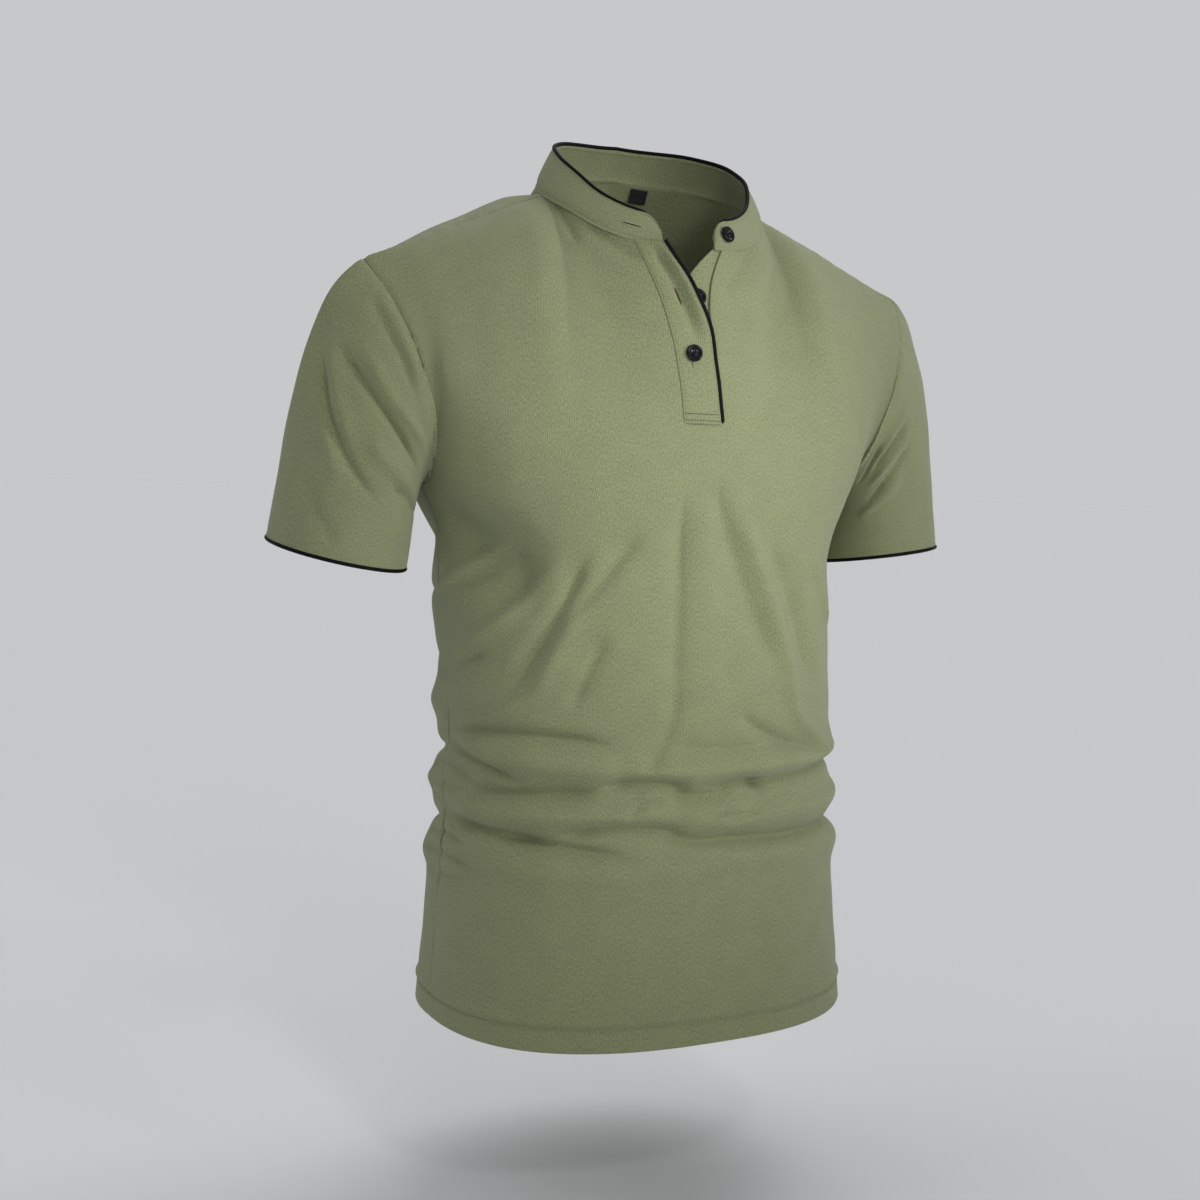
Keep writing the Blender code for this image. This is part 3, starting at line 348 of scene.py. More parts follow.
def smooth_step(low, high, x):
    t = np.clip((np.asarray(x, float) - low) / (high - low), 0, 1)
    return t * t * (3 - 2 * t)


def bump(x, place, reach):
    return np.exp(-(((x - place) / reach) ** 2))


def column(table, name, key, x):
    return smooth_through([getattr(row, key) for row in table], [getattr(row, name) for row in table], x)


def hermite(start, leave, end, arrive, t):
    t = t[..., None]
    return (
        (1 + 2 * t) * (1 - t) ** 2 * start
        + t * (1 - t) ** 2 * leave
        + t * t * (3 - 2 * t) * end
        + t * t * (t - 1) * arrive
    )


def points(x, y, z):
    return np.stack(np.broadcast_arrays(x, y, z), axis=-1).astype(float)


def circle(count):
    """Even angles once round, from 0."""
    return np.arange(count) / count * 2 * math.pi


def unit(vectors):
    return vectors / np.linalg.norm(vectors, axis=-1, keepdims=True)


def steps_along(path):
    """Distance of each place of a path from its start."""
    return np.concatenate([[0], np.cumsum(np.linalg.norm(np.diff(path, axis=0), axis=1))])


def read_along(steps, values, at):
    """Vectors given at steps along a path, read at other distances."""
    return np.stack([np.interp(at, steps, values[:, axis]) for axis in range(3)], axis=-1)


def girth_samples():
    """Even girth shares 0..1 of a quarter section, with the matching share of its half width."""
    angle = np.linspace(0, math.pi / 2, 400)
    across = np.sin(angle) ** (2 / SQUARENESS)
    depth = np.cos(angle) ** (2 / SQUARENESS)
    waist = TORSO[3]
    steps = np.hypot(np.diff(across) * waist.half_width, np.diff(depth) * waist.front)
    length = np.concatenate([[0], np.cumsum(steps)])
    return length / length[-1], across


GIRTH, ACROSS = girth_samples()


# ---------------------------------------------------------------- the body's surface
def lower_body(side, u, z):
    """Outer face of the cloth at or below the underarm."""
    across = np.sign(u) * np.interp(np.abs(u), GIRTH, ACROSS)
    depth = column(TORSO, "front" if side == FRONT else "back", "height", z)
    rounding = np.clip(1 - np.abs(across) ** SQUARENESS, 0, 1) ** (1 / SQUARENESS)
    x = across * column(TORSO, "half_width", "height", z)
    return points(x, column(TORSO, "centre", "height", z) + side * depth * rounding, z)


def neck_seam(side, share):
    """The neck seam on the front or the back half, at a share of its half width."""
    power = NECK_FRONT_POWER if side == FRONT else NECK_BACK_POWER
    depth = NECK_FRONT_DEPTH if side == FRONT else NECK_BACK_DEPTH
    round_y = np.clip(1 - np.abs(share) ** power, 0, 1) ** (1 / power)
    angle = np.degrees(np.arctan2(np.abs(share), round_y))
    height = column(NECK, "height", "angle", angle if side == FRONT else 180 - angle)
    return points(share * NECK_HALF_WIDTH, NECK_CENTRE + side * depth * round_y, height)


def top_edge(side, u):
    """Neck seam in the middle, and a shoulder seam on each side of it."""
    size = np.abs(u)
    t = np.clip(size / NECK_SHARE, 0, 1)
    neck = neck_seam(side, np.sign(u) * (t + t * t - t**3))
    along = np.clip((size - NECK_SHARE) / (1 - NECK_SHARE), 0, 1)[..., None]
    sides = np.sign(u)[..., None] * np.array([1, 0, 0]) + np.array([0, 1, 1])
    start = neck_seam(side, np.array(1.0)) * sides
    shoulder = start + (np.array(SHOULDER_TIP) * sides - start) * along
    return np.where((size < NECK_SHARE)[..., None], neck, shoulder)


def armhole(side, v, edge):
    """Half of the armhole seam at one edge, from the underarm (v = 0) to the shoulder (v = 1)."""
    step = np.linspace(0, 1, len(ARMHOLE))

    def read(name):
        return smooth_through(step, [getattr(row, name) for row in ARMHOLE], v)

    rise = read("right_rise") * (np.asarray(edge) == RIGHT) * (side == BACK)
    return points(edge * read("out"), read("front" if side == FRONT else "back"), read("height") + rise)


def upper_curves(side, u, v):
    """Curves from the underarm level up to the top edge."""
    start = lower_body(side, u, UNDERARM)
    end = top_edge(side, u)
    rise = (end - start)[..., 2:]
    slope = (start - lower_body(side, u, UNDERARM - SLOPE_STEP)) / SLOPE_STEP
    over = smooth_step(0.5 * NECK_SHARE, 1.3 * NECK_SHARE, np.abs(u))[..., None]
    neck, right, left = (np.array(direction) for direction in ARRIVAL[side])
    shoulder = np.where((u < 0)[..., None], right, left)
    return hermite(start, slope * rise, end, (neck * (1 - over) + shoulder * over) * rise, v)


def smooth_body(side, u, v):
    """Outer face of a panel without its folds."""
    u, v = np.broadcast_arrays(np.asarray(u, float), np.asarray(v, float))
    hem = column(HEM, "front" if side == FRONT else "back", "across", u)
    low = lower_body(side, u, UNDERARM + np.minimum(v, 0) * (UNDERARM - hem))
    up = np.maximum(v, 0)
    edge = np.sign(u)
    pull = (armhole(side, up, edge) - upper_curves(side, edge, up)) * (u**4)[..., None]
    return np.where((v < 0)[..., None], low, upper_curves(side, u, up) + pull)


def outward(side, u, v):
    """Unit vectors out of the cloth."""
    step = NORMAL_STEP
    along = smooth_body(side, np.minimum(u + step, 1), v) - smooth_body(side, np.maximum(u - step, -1), v)
    up = smooth_body(side, u, np.minimum(v + step, 1)) - smooth_body(side, u, np.maximum(v - step, -1))
    return unit(np.cross(along, up) * -side)


def bend(start, middle, end, t):
    """Quadratic curve through three places."""
    t = np.asarray(t)[:, None]
    pull = 2 * middle - (start + end) / 2
    return (1 - t) ** 2 * start + 2 * t * (1 - t) * pull + t * t * end


def fold_shape(places, start, middle, end, reach, depth):
    """Depth of one fold at places on the flat cloth: a soft trough or ridge that fades at its ends."""
    t = np.linspace(0, 1, FOLD_STEPS + 1)
    line = bend(np.array(start), np.array(middle), np.array(end), t)
    nearest = np.full(places.shape[:-1], np.inf)
    where = np.zeros(places.shape[:-1])
    for a, b, t0 in zip(line[:-1], line[1:], t[:-1]):
        step = b - a
        along = np.clip(((places - a) @ step) / (step @ step), 0, 1)
        gap = np.linalg.norm(places - a - along[..., None] * step, axis=-1)
        closer = gap < nearest
        nearest = np.where(closer, gap, nearest)
        where = np.where(closer, t0 + along / FOLD_STEPS, where)
    fade = smooth_step(0, FOLD_FADE, where) * smooth_step(0, FOLD_FADE, 1 - where)
    crease = CREASE if depth < 0 and reach < HOLLOW else 0.0
    shape = (1 - crease) * bump(nearest, 0, reach) + crease * bump(nearest, 0, reach * CREASE_REACH)
    return depth * fade * shape


def panel_folds(side, u, z):
    """Depth of all the folds of one panel."""
    places = np.stack([u * HALF_GIRTH, z], axis=-1)
    total = np.zeros(z.shape)
    for f in FOLDS:
        if f.side == side:
            through = ((f.u1, f.height1), (f.u2, f.height2), (f.u3, f.height3))
            through = [(u_there * HALF_GIRTH, height) for u_there, height in through]
            total += fold_shape(places, *through, f.reach, f.depth)
    return total


def body_folds(side, u, z):
    """The same, with front and back drawn together towards the side seams, where they meet."""
    near_seam = smooth_step(0.8, 1, np.abs(u))
    at_seam = (panel_folds(FRONT, np.sign(u), z) + panel_folds(BACK, np.sign(u), z)) / 2
    return panel_folds(side, u, z) * (1 - near_seam) + at_seam * near_seam * SEAM_FOLDS


def unevenness(s, t, turn):
    """Shallow waves without a direction, for cloth that hangs loose. turn sets pieces apart."""
    waves = (
        np.sin(s * 61 + t * 23 + turn * 1.7) * np.sin(t * 47 - s * 19 + turn * 2.3)
        + 0.6 * np.sin(s * 113 - t * 71 + turn * 0.9) * np.sin(t * 97 + s * 43 + turn * 3.1)
    )
    return UNEVENNESS * waves


def seam(distance, along):
    """The groove along a seam, with slight gathers beside it."""
    gathers = np.sin(along * 760) * np.sin(along * 283 + 1.1) + 0.5 * np.sin(along * 431 + 0.4)
    gathers = PUCKER * gathers * bump(distance, PUCKER_PLACE, PUCKER_REACH)
    return -SEAM_DIP * bump(distance, 0, SEAM_REACH) + gathers


def hem_profile(height):
    """A turned-up hem: doubled cloth, the stitched crease, and the roll above it."""
    return (
        0.0004 * (1 - smooth_step(HEM_TURN - 0.001, HEM_TURN + 0.001, height))
        - 0.0013 * bump(height, HEM_TURN, 0.0012)
        + 0.0018 * bump(height, HEM_TURN + 0.0042, 0.0028)
        - 0.0007 * (1 - smooth_step(0, 0.0014, height))
    )


def flat_places(s, t):
    return np.stack(np.broadcast_arrays(s, t), axis=-1)


def cloth_place(u, v):
    """Coordinates on the flat cloth of a panel, in metres."""
    u, v = np.broadcast_arrays(np.asarray(u, float), np.asarray(v, float))
    return np.stack([u * HALF_GIRTH, np.where(v < 0, v * BODY_LENGTH, v * CHEST_LENGTH)], axis=-1)


def body_detail(side, u, v):
    s, t = np.moveaxis(cloth_place(u, v), -1, 0)
    detail = unevenness(s, t, side) * smooth_step(0, 0.04, BODY_LENGTH + t)
    at_armhole = smooth_step(-0.1, 0.1, v)
    detail = detail + (0.35 + 0.65 * at_armhole) * seam((1 - np.abs(u)) * HALF_GIRTH, t)
    at_shoulder = smooth_step(NECK_SHARE * 0.95, NECK_SHARE * 1.05, np.abs(u)) * (v > 0)
    at_shoulder = at_shoulder * smooth_step(0.002, 0.018, (1 - np.abs(u)) * HALF_GIRTH) * 0.5
    detail = detail + at_shoulder * seam((1 - v) * CHEST_LENGTH, s)
    return detail + hem_profile(BODY_LENGTH + t)


def body_point(side, u, v, out=0.0, detailed=True):
    """Outer face of a panel, or a face that lies out from it."""
    u, v = np.broadcast_arrays(np.asarray(u, float), np.asarray(v, float))
    place = smooth_body(side, u, v)
    depth = body_folds(side, u, place[..., 2]) + out
    if detailed:
        depth = depth + body_detail(side, u, v)
    return place + outward(side, u, v) * depth[..., None]


def u_at(side, x, v):
    """The u at which a panel has a given x, for matching lists of x and v."""
    u = np.linspace(-0.5, 0.5, SEARCH_STEPS)
    return np.array([np.interp(place, smooth_body(side, u, row)[:, 0], u) for place, row in zip(x, v)])


def v_at(z):
    """The v at which the front's middle has a given height above the underarm."""
    v = np.linspace(0, 1, SEARCH_STEPS)
    return np.interp(z, smooth_body(FRONT, 0, v)[:, 2], v)


def placket_u(name, v):
    """The u of an edge of the placket; below the placket it stays as at the foot."""
    v = np.maximum(v, v_at(PLACKET_FOOT))
    height = smooth_body(FRONT, 0, v)[:, 2]
    return u_at(FRONT, column(PLACKET, name, "height", height), v)


# ---------------------------------------------------------------- materials
class Look:
    """A material with a few helpers to wire its nodes."""

    def __init__(self, name, colour, roughness, specular=0.5, sheen=0.0):
        self.material = bpy.data.materials.new(name)
        self.material.use_nodes = True
        self.tree = self.material.node_tree
        self.shader = self.tree.nodes["Principled BSDF"]
        self.shader.inputs["Base Color"].default_value = (*colour, 1)
        self.shader.inputs["Roughness"].default_value = roughness
        self.shader.inputs["Specular IOR Level"].default_value = specular
        self.shader.inputs["Sheen Weight"].default_value = sheen
        self.shader.inputs["Sheen Roughness"].default_value = 0.4

    def node(self, kind, **settings):
        made = self.tree.nodes.new(kind)
        for name, value in settings.items():
            setattr(made, name, value)
        return made

    def link(self, source, target):
        self.tree.links.new(source, target)

    def math(self, operation, a, b=None, c=None):
        made = self.node("ShaderNodeMath", operation=operation)
        for socket, value in zip(made.inputs, (a, b, c)):
            if isinstance(value, bpy.types.NodeSocket):
                self.link(value, socket)
            elif value is not None:
                socket.default_value = value
        return made.outputs[0]

    def cloth_uv(self):
        """Coordinates on the cloth, in metres."""
        return self.node("ShaderNodeUVMap", uv_map="cloth").outputs["UV"]

    def object_place(self):
        return self.node("ShaderNodeTexCoord").outputs["Object"]

    def noise(self, vector, scale, detail=2.0, stretch=(1, 1, 1)):
        mapping = self.node("ShaderNodeMapping")
        mapping.inputs["Scale"].default_value = stretch
        self.link(vector, mapping.inputs["Vector"])
        made = self.node("ShaderNodeTexNoise")
        made.inputs["Scale"].default_value = scale
        made.inputs["Detail"].default_value = detail
        self.link(mapping.outputs[0], made.inputs["Vector"])
        return made.outputs["Fac"]

    def range(self, value, low, high, new_low, new_high):
        made = self.node("ShaderNodeMapRange")
        self.link(value, made.inputs["Value"])
        made.inputs["From Min"].default_value = low
        made.inputs["From Max"].default_value = high
        made.inputs["To Min"].default_value = new_low
        made.inputs["To Max"].default_value = new_high
        return made.outputs["Result"]

    def mix(self, factor, a, b):
        made = self.node("ShaderNodeMix", data_type="RGBA")
        self.link(factor, made.inputs["Factor"])
        for socket, value in zip((made.inputs[6], made.inputs[7]), (a, b)):
            if isinstance(value, bpy.types.NodeSocket):
                self.link(value, socket)
            else:
                socket.default_value = (*value, 1)
        return made.outputs[2]

    def bump(self, height, distance, strength=1.0, below=None):
        made = self.node("ShaderNodeBump")
        made.inputs["Distance"].default_value = distance
        made.inputs["Strength"].default_value = strength
        self.link(height, made.inputs["Height"])
        if below is not None:
            self.link(below, made.inputs["Normal"])
        return made.outputs["Normal"]

    def finish(self, colour=None, normal=None, roughness=None):
        for name, value in (("Base Color", colour), ("Normal", normal), ("Roughness", roughness)):
            if value is not None:
                self.link(value, self.shader.inputs[name])
        return self.material


WALE, COURSE = 0.00115, 0.00090  # width and height of a knitted loop
GREY_GREEN, YELLOW_GREEN = (0.197, 0.223, 0.131), (0.324, 0.350, 0.173)


def knit(name, dark, light):
    """Fine jersey of a mottled yarn: upright rows of loops, flecks, and soft unevenness."""
    look = Look(name, light, 0.82, specular=0.25, sheen=0.24)
    cloth = look.cloth_uv()
    fleck = look.noise(cloth, 1350, 2.0, (1, 0.42, 1))
    cloud = look.noise(cloth, 55, 3.0)
    flecks = look.range(fleck, 0.36, 0.64, 0.0, 0.85)
    clouds = look.range(cloud, 0.3, 0.7, 0.0, 0.15)
    colour = look.mix(look.math("ADD", flecks, clouds), dark, light)
    split = look.node("ShaderNodeSeparateXYZ")
    look.link(cloth, split.inputs[0])
    across = look.math("FRACT", look.math("DIVIDE", split.outputs["X"], WALE))
    from_middle = look.math("ABSOLUTE", look.math("SUBTRACT", across, 0.5))
    row = look.math("DIVIDE", split.outputs["Y"], COURSE)
    loop = look.math("SINE", look.math("MULTIPLY", look.math("ADD", row, from_middle), 2 * math.pi))
    wale = look.math("MULTIPLY_ADD", look.math("MULTIPLY", from_middle, from_middle), -4.0, 1.0)
    height = look.math("MULTIPLY", wale, look.math("MULTIPLY_ADD", loop, 0.3, 0.7))
    fine = look.bump(height, 0.00030, 0.8)
    rough = look.bump(look.noise(cloth, 600, 2.0, (1, 0.6, 1)), 0.0005, 0.5, below=fine)
    soft = look.bump(look.noise(cloth, 38, 2.0), 0.0030, 0.20, below=rough)
    return look.finish(colour, soft)


def piping_look():
    look = Look("piping_satin", (0.003, 0.003, 0.004), 0.60, specular=0.08)
    place = look.object_place()
    weave = look.noise(place, 1500, 2.0)
    shade = look.mix(look.noise(place, 400, 2.0), (0.003, 0.003, 0.004), (0.008, 0.008, 0.009))
    return look.finish(shade, look.bump(weave, 0.0004, 0.5))


def button_look():
    look = Look("button_resin", (0.003, 0.003, 0.004), 0.14, specular=0.16)
    place = look.object_place()
    shade = look.mix(look.noise(place, 260, 2.0), (0.003, 0.003, 0.004), (0.009, 0.009, 0.011))
    wear = look.range(look.noise(place, 700, 3.0), 0.3, 0.7, 0.12, 0.24)
    return look.finish(shade, roughness=wear)


def thread_look(name, colour, deep):
    look = Look(name, colour, 0.6, specular=0.4, sheen=0.3)
    place = look.object_place()
    twist = look.noise(place, 2600, 1.0)
    return look.finish(look.mix(twist, deep, colour), look.bump(twist, 0.0002, 0.4))


def label_look():
    look = Look("label_weave", (0.012, 0.012, 0.014), 0.7, specular=0.3, sheen=0.2)
    place = look.object_place()
    weave = look.noise(place, 1800, 1.0, (1, 1, 0.4))
    shade = look.mix(weave, (0.008, 0.008, 0.010), (0.022, 0.022, 0.025))
    return look.finish(shade, look.bump(weave, 0.0003, 0.6))


def floor_look():
    look = Look("studio_floor", (0.88, 0.89, 0.91), 0.9, specular=0.1)
    place = look.object_place()
    shade = look.mix(look.noise(place, 1.5), (0.880, 0.888, 0.905), (0.894, 0.902, 0.919))
    return look.finish(shade)


# ---------------------------------------------------------------- meshes
def link(made):
    bpy.context.scene.collection.objects.link(made)
    return made


def plain_mesh(name, corners, faces, paint):
    """A smooth-shaded mesh from an array of corners and a list of faces."""
    mesh = bpy.data.meshes.new(name)
    mesh.from_pydata(corners.tolist(), [], faces)
    mesh.materials.append(paint)
    mesh.shade_smooth()
    return link(bpy.data.objects.new(name, mesh))


def grid_cells(rows, columns, closed=False):
    """Row and column of each cell, and the columns to its right (the first again where it closes)."""
    i, j = np.meshgrid(np.arange(rows - 1), np.arange(columns if closed else columns - 1), indexing="ij")
    i, j = i.ravel(), j.ravel()
    return i, j, (j + 1) % columns


def grid_mesh(name, places, cloth, paint, thickness=None, closed=False, flip=False, hole=None):
    """A sheet through a grid of places; cloth gives each its coordinates on the flat cloth.

    A closed sheet joins its last column to its first, and cloth has one column more. hole is a
    function of row and column that says which cells are left out.
    """
    rows, columns = places.shape[:2]
    i, j, k = grid_cells(rows, columns, closed)
    if hole is not None:
        keep = ~hole(i, j)
        i, j, k = i[keep], j[keep], k[keep]
    here, above = i * columns, (i + 1) * columns
    faces = np.stack([here + j, here + k, above + k, above + j], axis=1)
    flat = np.stack([cloth[i, j], cloth[i, j + 1], cloth[i + 1, j + 1], cloth[i + 1, j]], axis=1)
    if flip:
        faces, flat = faces[:, ::-1], flat[:, ::-1]
    used, faces = np.unique(faces, return_inverse=True)
    made = plain_mesh(name, places.reshape(-1, 3)[used], faces.reshape(-1, 4).tolist(), paint)
    layer = made.data.uv_layers.new(name="cloth")
    layer.data.foreach_set("uv", flat.reshape(-1))
    if thickness:
        wall = made.modifiers.new("Wall", "SOLIDIFY")
        wall.thickness = thickness
        wall.offset = -1
    return made


def tube(name, centres, radii, paint, sides=12, closed=False, flatten=1.0, over=None):
    """A cord through the centres. over gives the direction in which flatten thins it."""
    centres = np.asarray(centres, float)
    if closed:
        ahead = unit(np.roll(centres, -1, axis=0) - np.roll(centres, 1, axis=0))
    else:
        ahead = unit(np.gradient(centres, axis=0))
    over = np.array([0.11, 0.23, 0.97]) if over is None else over
    side = unit(np.cross(ahead, over))
    top = unit(np.cross(side, ahead))
    turn = circle(sides)[:, None]
    ring = side[:, None] * np.cos(turn) + top[:, None] * np.sin(turn) * flatten
    radii = np.broadcast_to(radii, len(centres))[:, None, None]
    corners = (centres[:, None] + radii * ring).reshape(-1, 3)
    count = len(centres)
    i, j = np.meshgrid(np.arange(count if closed else count - 1), np.arange(sides), indexing="ij")
    i, j, k, n = i.ravel(), j.ravel(), (j.ravel() + 1) % sides, (i.ravel() + 1) % count
    faces = np.stack([i * sides + j, n * sides + j, n * sides + k, i * sides + k], axis=1).tolist()
    if not closed:
        faces.append(list(range(sides)))
        faces.append([(count - 1) * sides + j for j in reversed(range(sides))])
    return plain_mesh(name, corners, faces, paint)


STITCH_SIDES = 6
# A stitch's rings: place along it and thickness, as shares of its length and its radius
StitchRing = namedtuple("StitchRing", "along thickness")
STITCH_RINGS = (
    StitchRing(-0.50, 0.15),
    StitchRing(-0.36, 0.80),
    StitchRing(0.00, 1.00),
    StitchRing(0.36, 0.80),
    StitchRing(0.50, 0.15),
)


def stitch_mesh(name, centres, along, over, length, radius, paint):
    """Short threads, one at each centre, lying along a direction on cloth that faces over."""
    side = unit(np.cross(along, over))
    turn = circle(STITCH_SIDES)[:, None]
    ring = side[:, None] * np.cos(turn) + over[:, None] * np.sin(turn)
    rings = [
        (centres + along * row.along * length)[:, None] + radius * row.thickness * ring
        for row in STITCH_RINGS
    ]
    corners = np.stack(rings, axis=1).reshape(-1, 3)
    each = len(STITCH_RINGS) * STITCH_SIDES
    i, j, k = grid_cells(len(STITCH_RINGS), STITCH_SIDES, closed=True)
    here, above = i * STITCH_SIDES, (i + 1) * STITCH_SIDES
    one = np.stack([here + j, above + j, above + k, here + k], axis=1)
    faces = (one[None] + np.arange(len(centres))[:, None, None] * each).reshape(-1, 4).tolist()
    for n in range(len(centres)):
        faces.append([n * each + j for j in range(STITCH_SIDES)])
        faces.append([(n + 1) * each - 1 - j for j in range(STITCH_SIDES)])
    return plain_mesh(name, corners, faces, paint)


Stitch = namedtuple("Stitch", "pitch length radius")
SEWN = Stitch(0.0026, 0.0019, 0.00020)
HEM_STITCH = Stitch(0.0029, 0.0016, 0.00016)
BAR_STITCH = Stitch(0.0021, 0.0016, 0.00032)
LABEL_STITCH = Stitch(0.0016, 0.0012, 0.00012)
ON_CLOTH = 0.0001  # height of a stitch's middle above the cloth's face


def stitch_line(name, path, over, paint, kind=SEWN):
    """Stitches at even steps along a path on cloth that faces over."""
    path, over = np.asarray(path, float), np.asarray(over, float)
    steps = steps_along(path)
    at = np.arange(kind.pitch / 2, steps[-1], kind.pitch)
    half = kind.length / 2
    centres, normals = read_along(steps, path, at), unit(read_along(steps, over, at))
    along = unit(read_along(steps, path, at + half) - read_along(steps, path, at - half))
    return stitch_mesh(name, centres, along, normals, kind.length, kind.radius, paint)


def ride(piece, slot, *nodes):
    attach(piece, "root")
    if nodes:
        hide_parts(*nodes)


# ---------------------------------------------------------------- body
def with_seam_lines(length, step, start=True):
    """Places from 0 to length at even steps, closer together beside the seams at its ends."""
    places = np.linspace(0, length, round(length / step) + 1)
    offsets = np.array(SEAM_OFFSETS)
    extra = [offsets] * start + [length - offsets]
    return np.unique(np.concatenate([places, *extra]))


def panel_rows():
    """v of a panel's rows from the hem up, and the number of the row at the placket's foot."""
    hem = np.arange(0, FINE_TOP, FINE_ROWS)
    stops = (FINE_TOP, *WAIST, BODY_LENGTH)
    body = [
        np.linspace(start, end, round((end - start) / step) + 1)[:-1]
        for start, end, step in zip(stops, stops[1:], (PANEL_STEP, WAIST_STEP, PANEL_STEP))
    ]
    low = np.concatenate([hem, *body, [BODY_LENGTH]]) / BODY_LENGTH - 1
    foot = v_at(PLACKET_FOOT)
    middle = np.linspace(0, foot, round(foot * CHEST_LENGTH / PANEL_STEP) + 1)[1:]
    high = with_seam_lines((1 - foot) * CHEST_LENGTH, UPPER_STEP, start=False)[1:]
    high = high / CHEST_LENGTH + foot
    return np.concatenate([low, middle, high]), len(low) + len(middle) - 1


STRIP_TUCK = 0.0012  # how far the front reaches under the upper strip
BESIDE_PLACKET = 0.93  # share of half a panel's girth beside the placket
EDGE_DIP, EDGE_DIP_REACH = 0.0007, 0.8  # of the front's left edge at the placket; reach in columns


def front_panel(paint):
    v, foot = panel_rows()
    right = placket_u("upper_seam", v) + STRIP_TUCK / HALF_GIRTH
    left = placket_u("under_seam", v)
    share = with_seam_lines(HALF_GIRTH * BESIDE_PLACKET, COLUMN_STEP)
    share = share / share[-1]
    middle = len(share)
    u = np.concatenate(
        [
            -1 + (right + 1)[:, None] * share,
            (right + left)[:, None] / 2,
            left[:, None] + (1 - left)[:, None] * share,
        ],
        axis=1,
    )
    v = v[:, None]
    edge_roll = -EDGE_DIP * bump(np.arange(u.shape[1]), middle + 1, EDGE_DIP_REACH) * (v > v[foot])
    made = grid_mesh(
        "front_cloth",
        body_point(FRONT, u, v, edge_roll),
        cloth_place(u, v),
        paint,
        CLOTH,
        hole=lambda i, j: (i >= foot) & (j >= middle - 1) & (j <= middle),
    )
    ride(made, "knit", "front")


def back_panel(paint):
    v, _ = panel_rows()
    u = with_seam_lines(2 * HALF_GIRTH, COLUMN_STEP) / HALF_GIRTH - 1
    u, v = u[None, :], v[:, None]
    made = grid_mesh("back_cloth", body_point(BACK, u, v), cloth_place(u, v), paint, CLOTH, flip=True)
    ride(made, "knit", "back")


# ---------------------------------------------------------------- placket
def strip_rows():
    return np.linspace(v_at(PLACKET_FOOT) - STRIP_BELOW, 1, STRIP_ROWS)


def strip_lift(v):
    """How far the upper strip's free edge stands off the chest."""
    height = smooth_body(FRONT, 0, v)[:, 2]
    return STRIP_LIFT * smooth_step(STRIP_LIFT_FROM, STRIP_LIFT_TO, height)


def rolled(distance, drop, reach=0.0009):
    """How far a strip's face drops towards an edge."""
    return -drop * (1 - np.sqrt(np.clip(1 - (1 - np.clip(distance / reach, 0, 1)) ** 2, 0, 1)))


STRIP_WIDTH = 0.029
STRIP_BELOW = 0.004  # v of its lower edge below the foot
STRIP_ROWS, STRIP_COLUMNS = 110, 26
STRIP_CLOTH = 0.0016
STRIP_FACE = 0.0010  # the upper strip's face above the front's
STRIP_STITCHING = (0.045, 0.915)  # shares of the upper strip's width at which it is stitched
STRIP_GROOVE, STRIP_GROOVE_REACH = 0.00045, 0.028  # the groove along each
# Troughs (below zero) and ridges along it, by share of its width
Trough = namedtuple("Trough", "place reach depth")
OPEN_TROUGHS = (Trough(0.56, 0.15, -0.0034), Trough(0.86, 0.10, 0.0012))
OPEN_HEIGHTS = (-0.110, -0.085, -0.050, -0.038)  # where it starts to open, is open, closes, is closed
UNDER_EDGE = Trough(0.64, 0.035, -0.0003)  # over the edge of the under strip
UNDER_EDGE_HEIGHTS = (-0.125, -0.112)  # over which this fades out
UNDER_TUCK = 0.004  # how far the under strip reaches under the front
LAYER_GAP = 0.0003


def strip_shares():
    return with_seam_lines(STRIP_WIDTH, STRIP_WIDTH / STRIP_COLUMNS) / STRIP_WIDTH


def upper_strip_point(share, v, out=0.0):
    """A place on the outer face of the upper strip: share runs from its seam to its free edge."""
    seam_u, edge_u = placket_u("upper_seam", v), placket_u("upper_edge", v)
    u = seam_u[:, None] + (edge_u - seam_u)[:, None] * share
    height = smooth_body(FRONT, 0, v)[:, 2][:, None]
    opens, opened, closes, closed = OPEN_HEIGHTS
    open_part = smooth_step(opens, opened, height) * (1 - smooth_step(closes, closed, height))
    crease = sum(row.depth * bump(share, row.place, row.reach) for row in OPEN_TROUGHS) * open_part
    under_layer = UNDER_EDGE.depth * bump(share, UNDER_EDGE.place, UNDER_EDGE.reach)
    under_layer = under_layer * (1 - smooth_step(*UNDER_EDGE_HEIGHTS, height))
    profile = STRIP_FACE + strip_lift(v)[:, None] * share**2 + crease + under_layer
    edges = rolled(share * STRIP_WIDTH, 0.0010) + rolled((1 - share) * STRIP_WIDTH, 0.0008)
    for line in STRIP_STITCHING:
        edges = edges - STRIP_GROOVE * bump(share, line, STRIP_GROOVE_REACH)
    foot = (v - v[0])[:, None] * CHEST_LENGTH
    return body_point(FRONT, u, v[:, None], profile + edges + rolled(foot, 0.0010) + out), u


def upper_strip(paint):
    v, share = strip_rows(), strip_shares()
    places, u = upper_strip_point(share, v)
    made = grid_mesh("placket_upper_cloth", places, cloth_place(u, v[:, None]), paint, STRIP_CLOTH)
    ride(made, "knit_band", "placket_upper")


def under_strip(paint):
    v, share = strip_rows(), strip_shares()
    edge_u = placket_u("under_edge", v)
    seam_u = placket_u("under_seam", v) + UNDER_TUCK / HALF_GIRTH
    u = edge_u[:, None] + (seam_u - edge_u)[:, None] * share
    out = -CLOTH - LAYER_GAP + rolled(share * STRIP_WIDTH, 0.0008)
    places = body_point(FRONT, u, v[:, None], out)
    made = grid_mesh("placket_under_cloth", places, cloth_place(u, v[:, None]), paint, STRIP_CLOTH)
    ride(made, "knit_band", "placket_under")


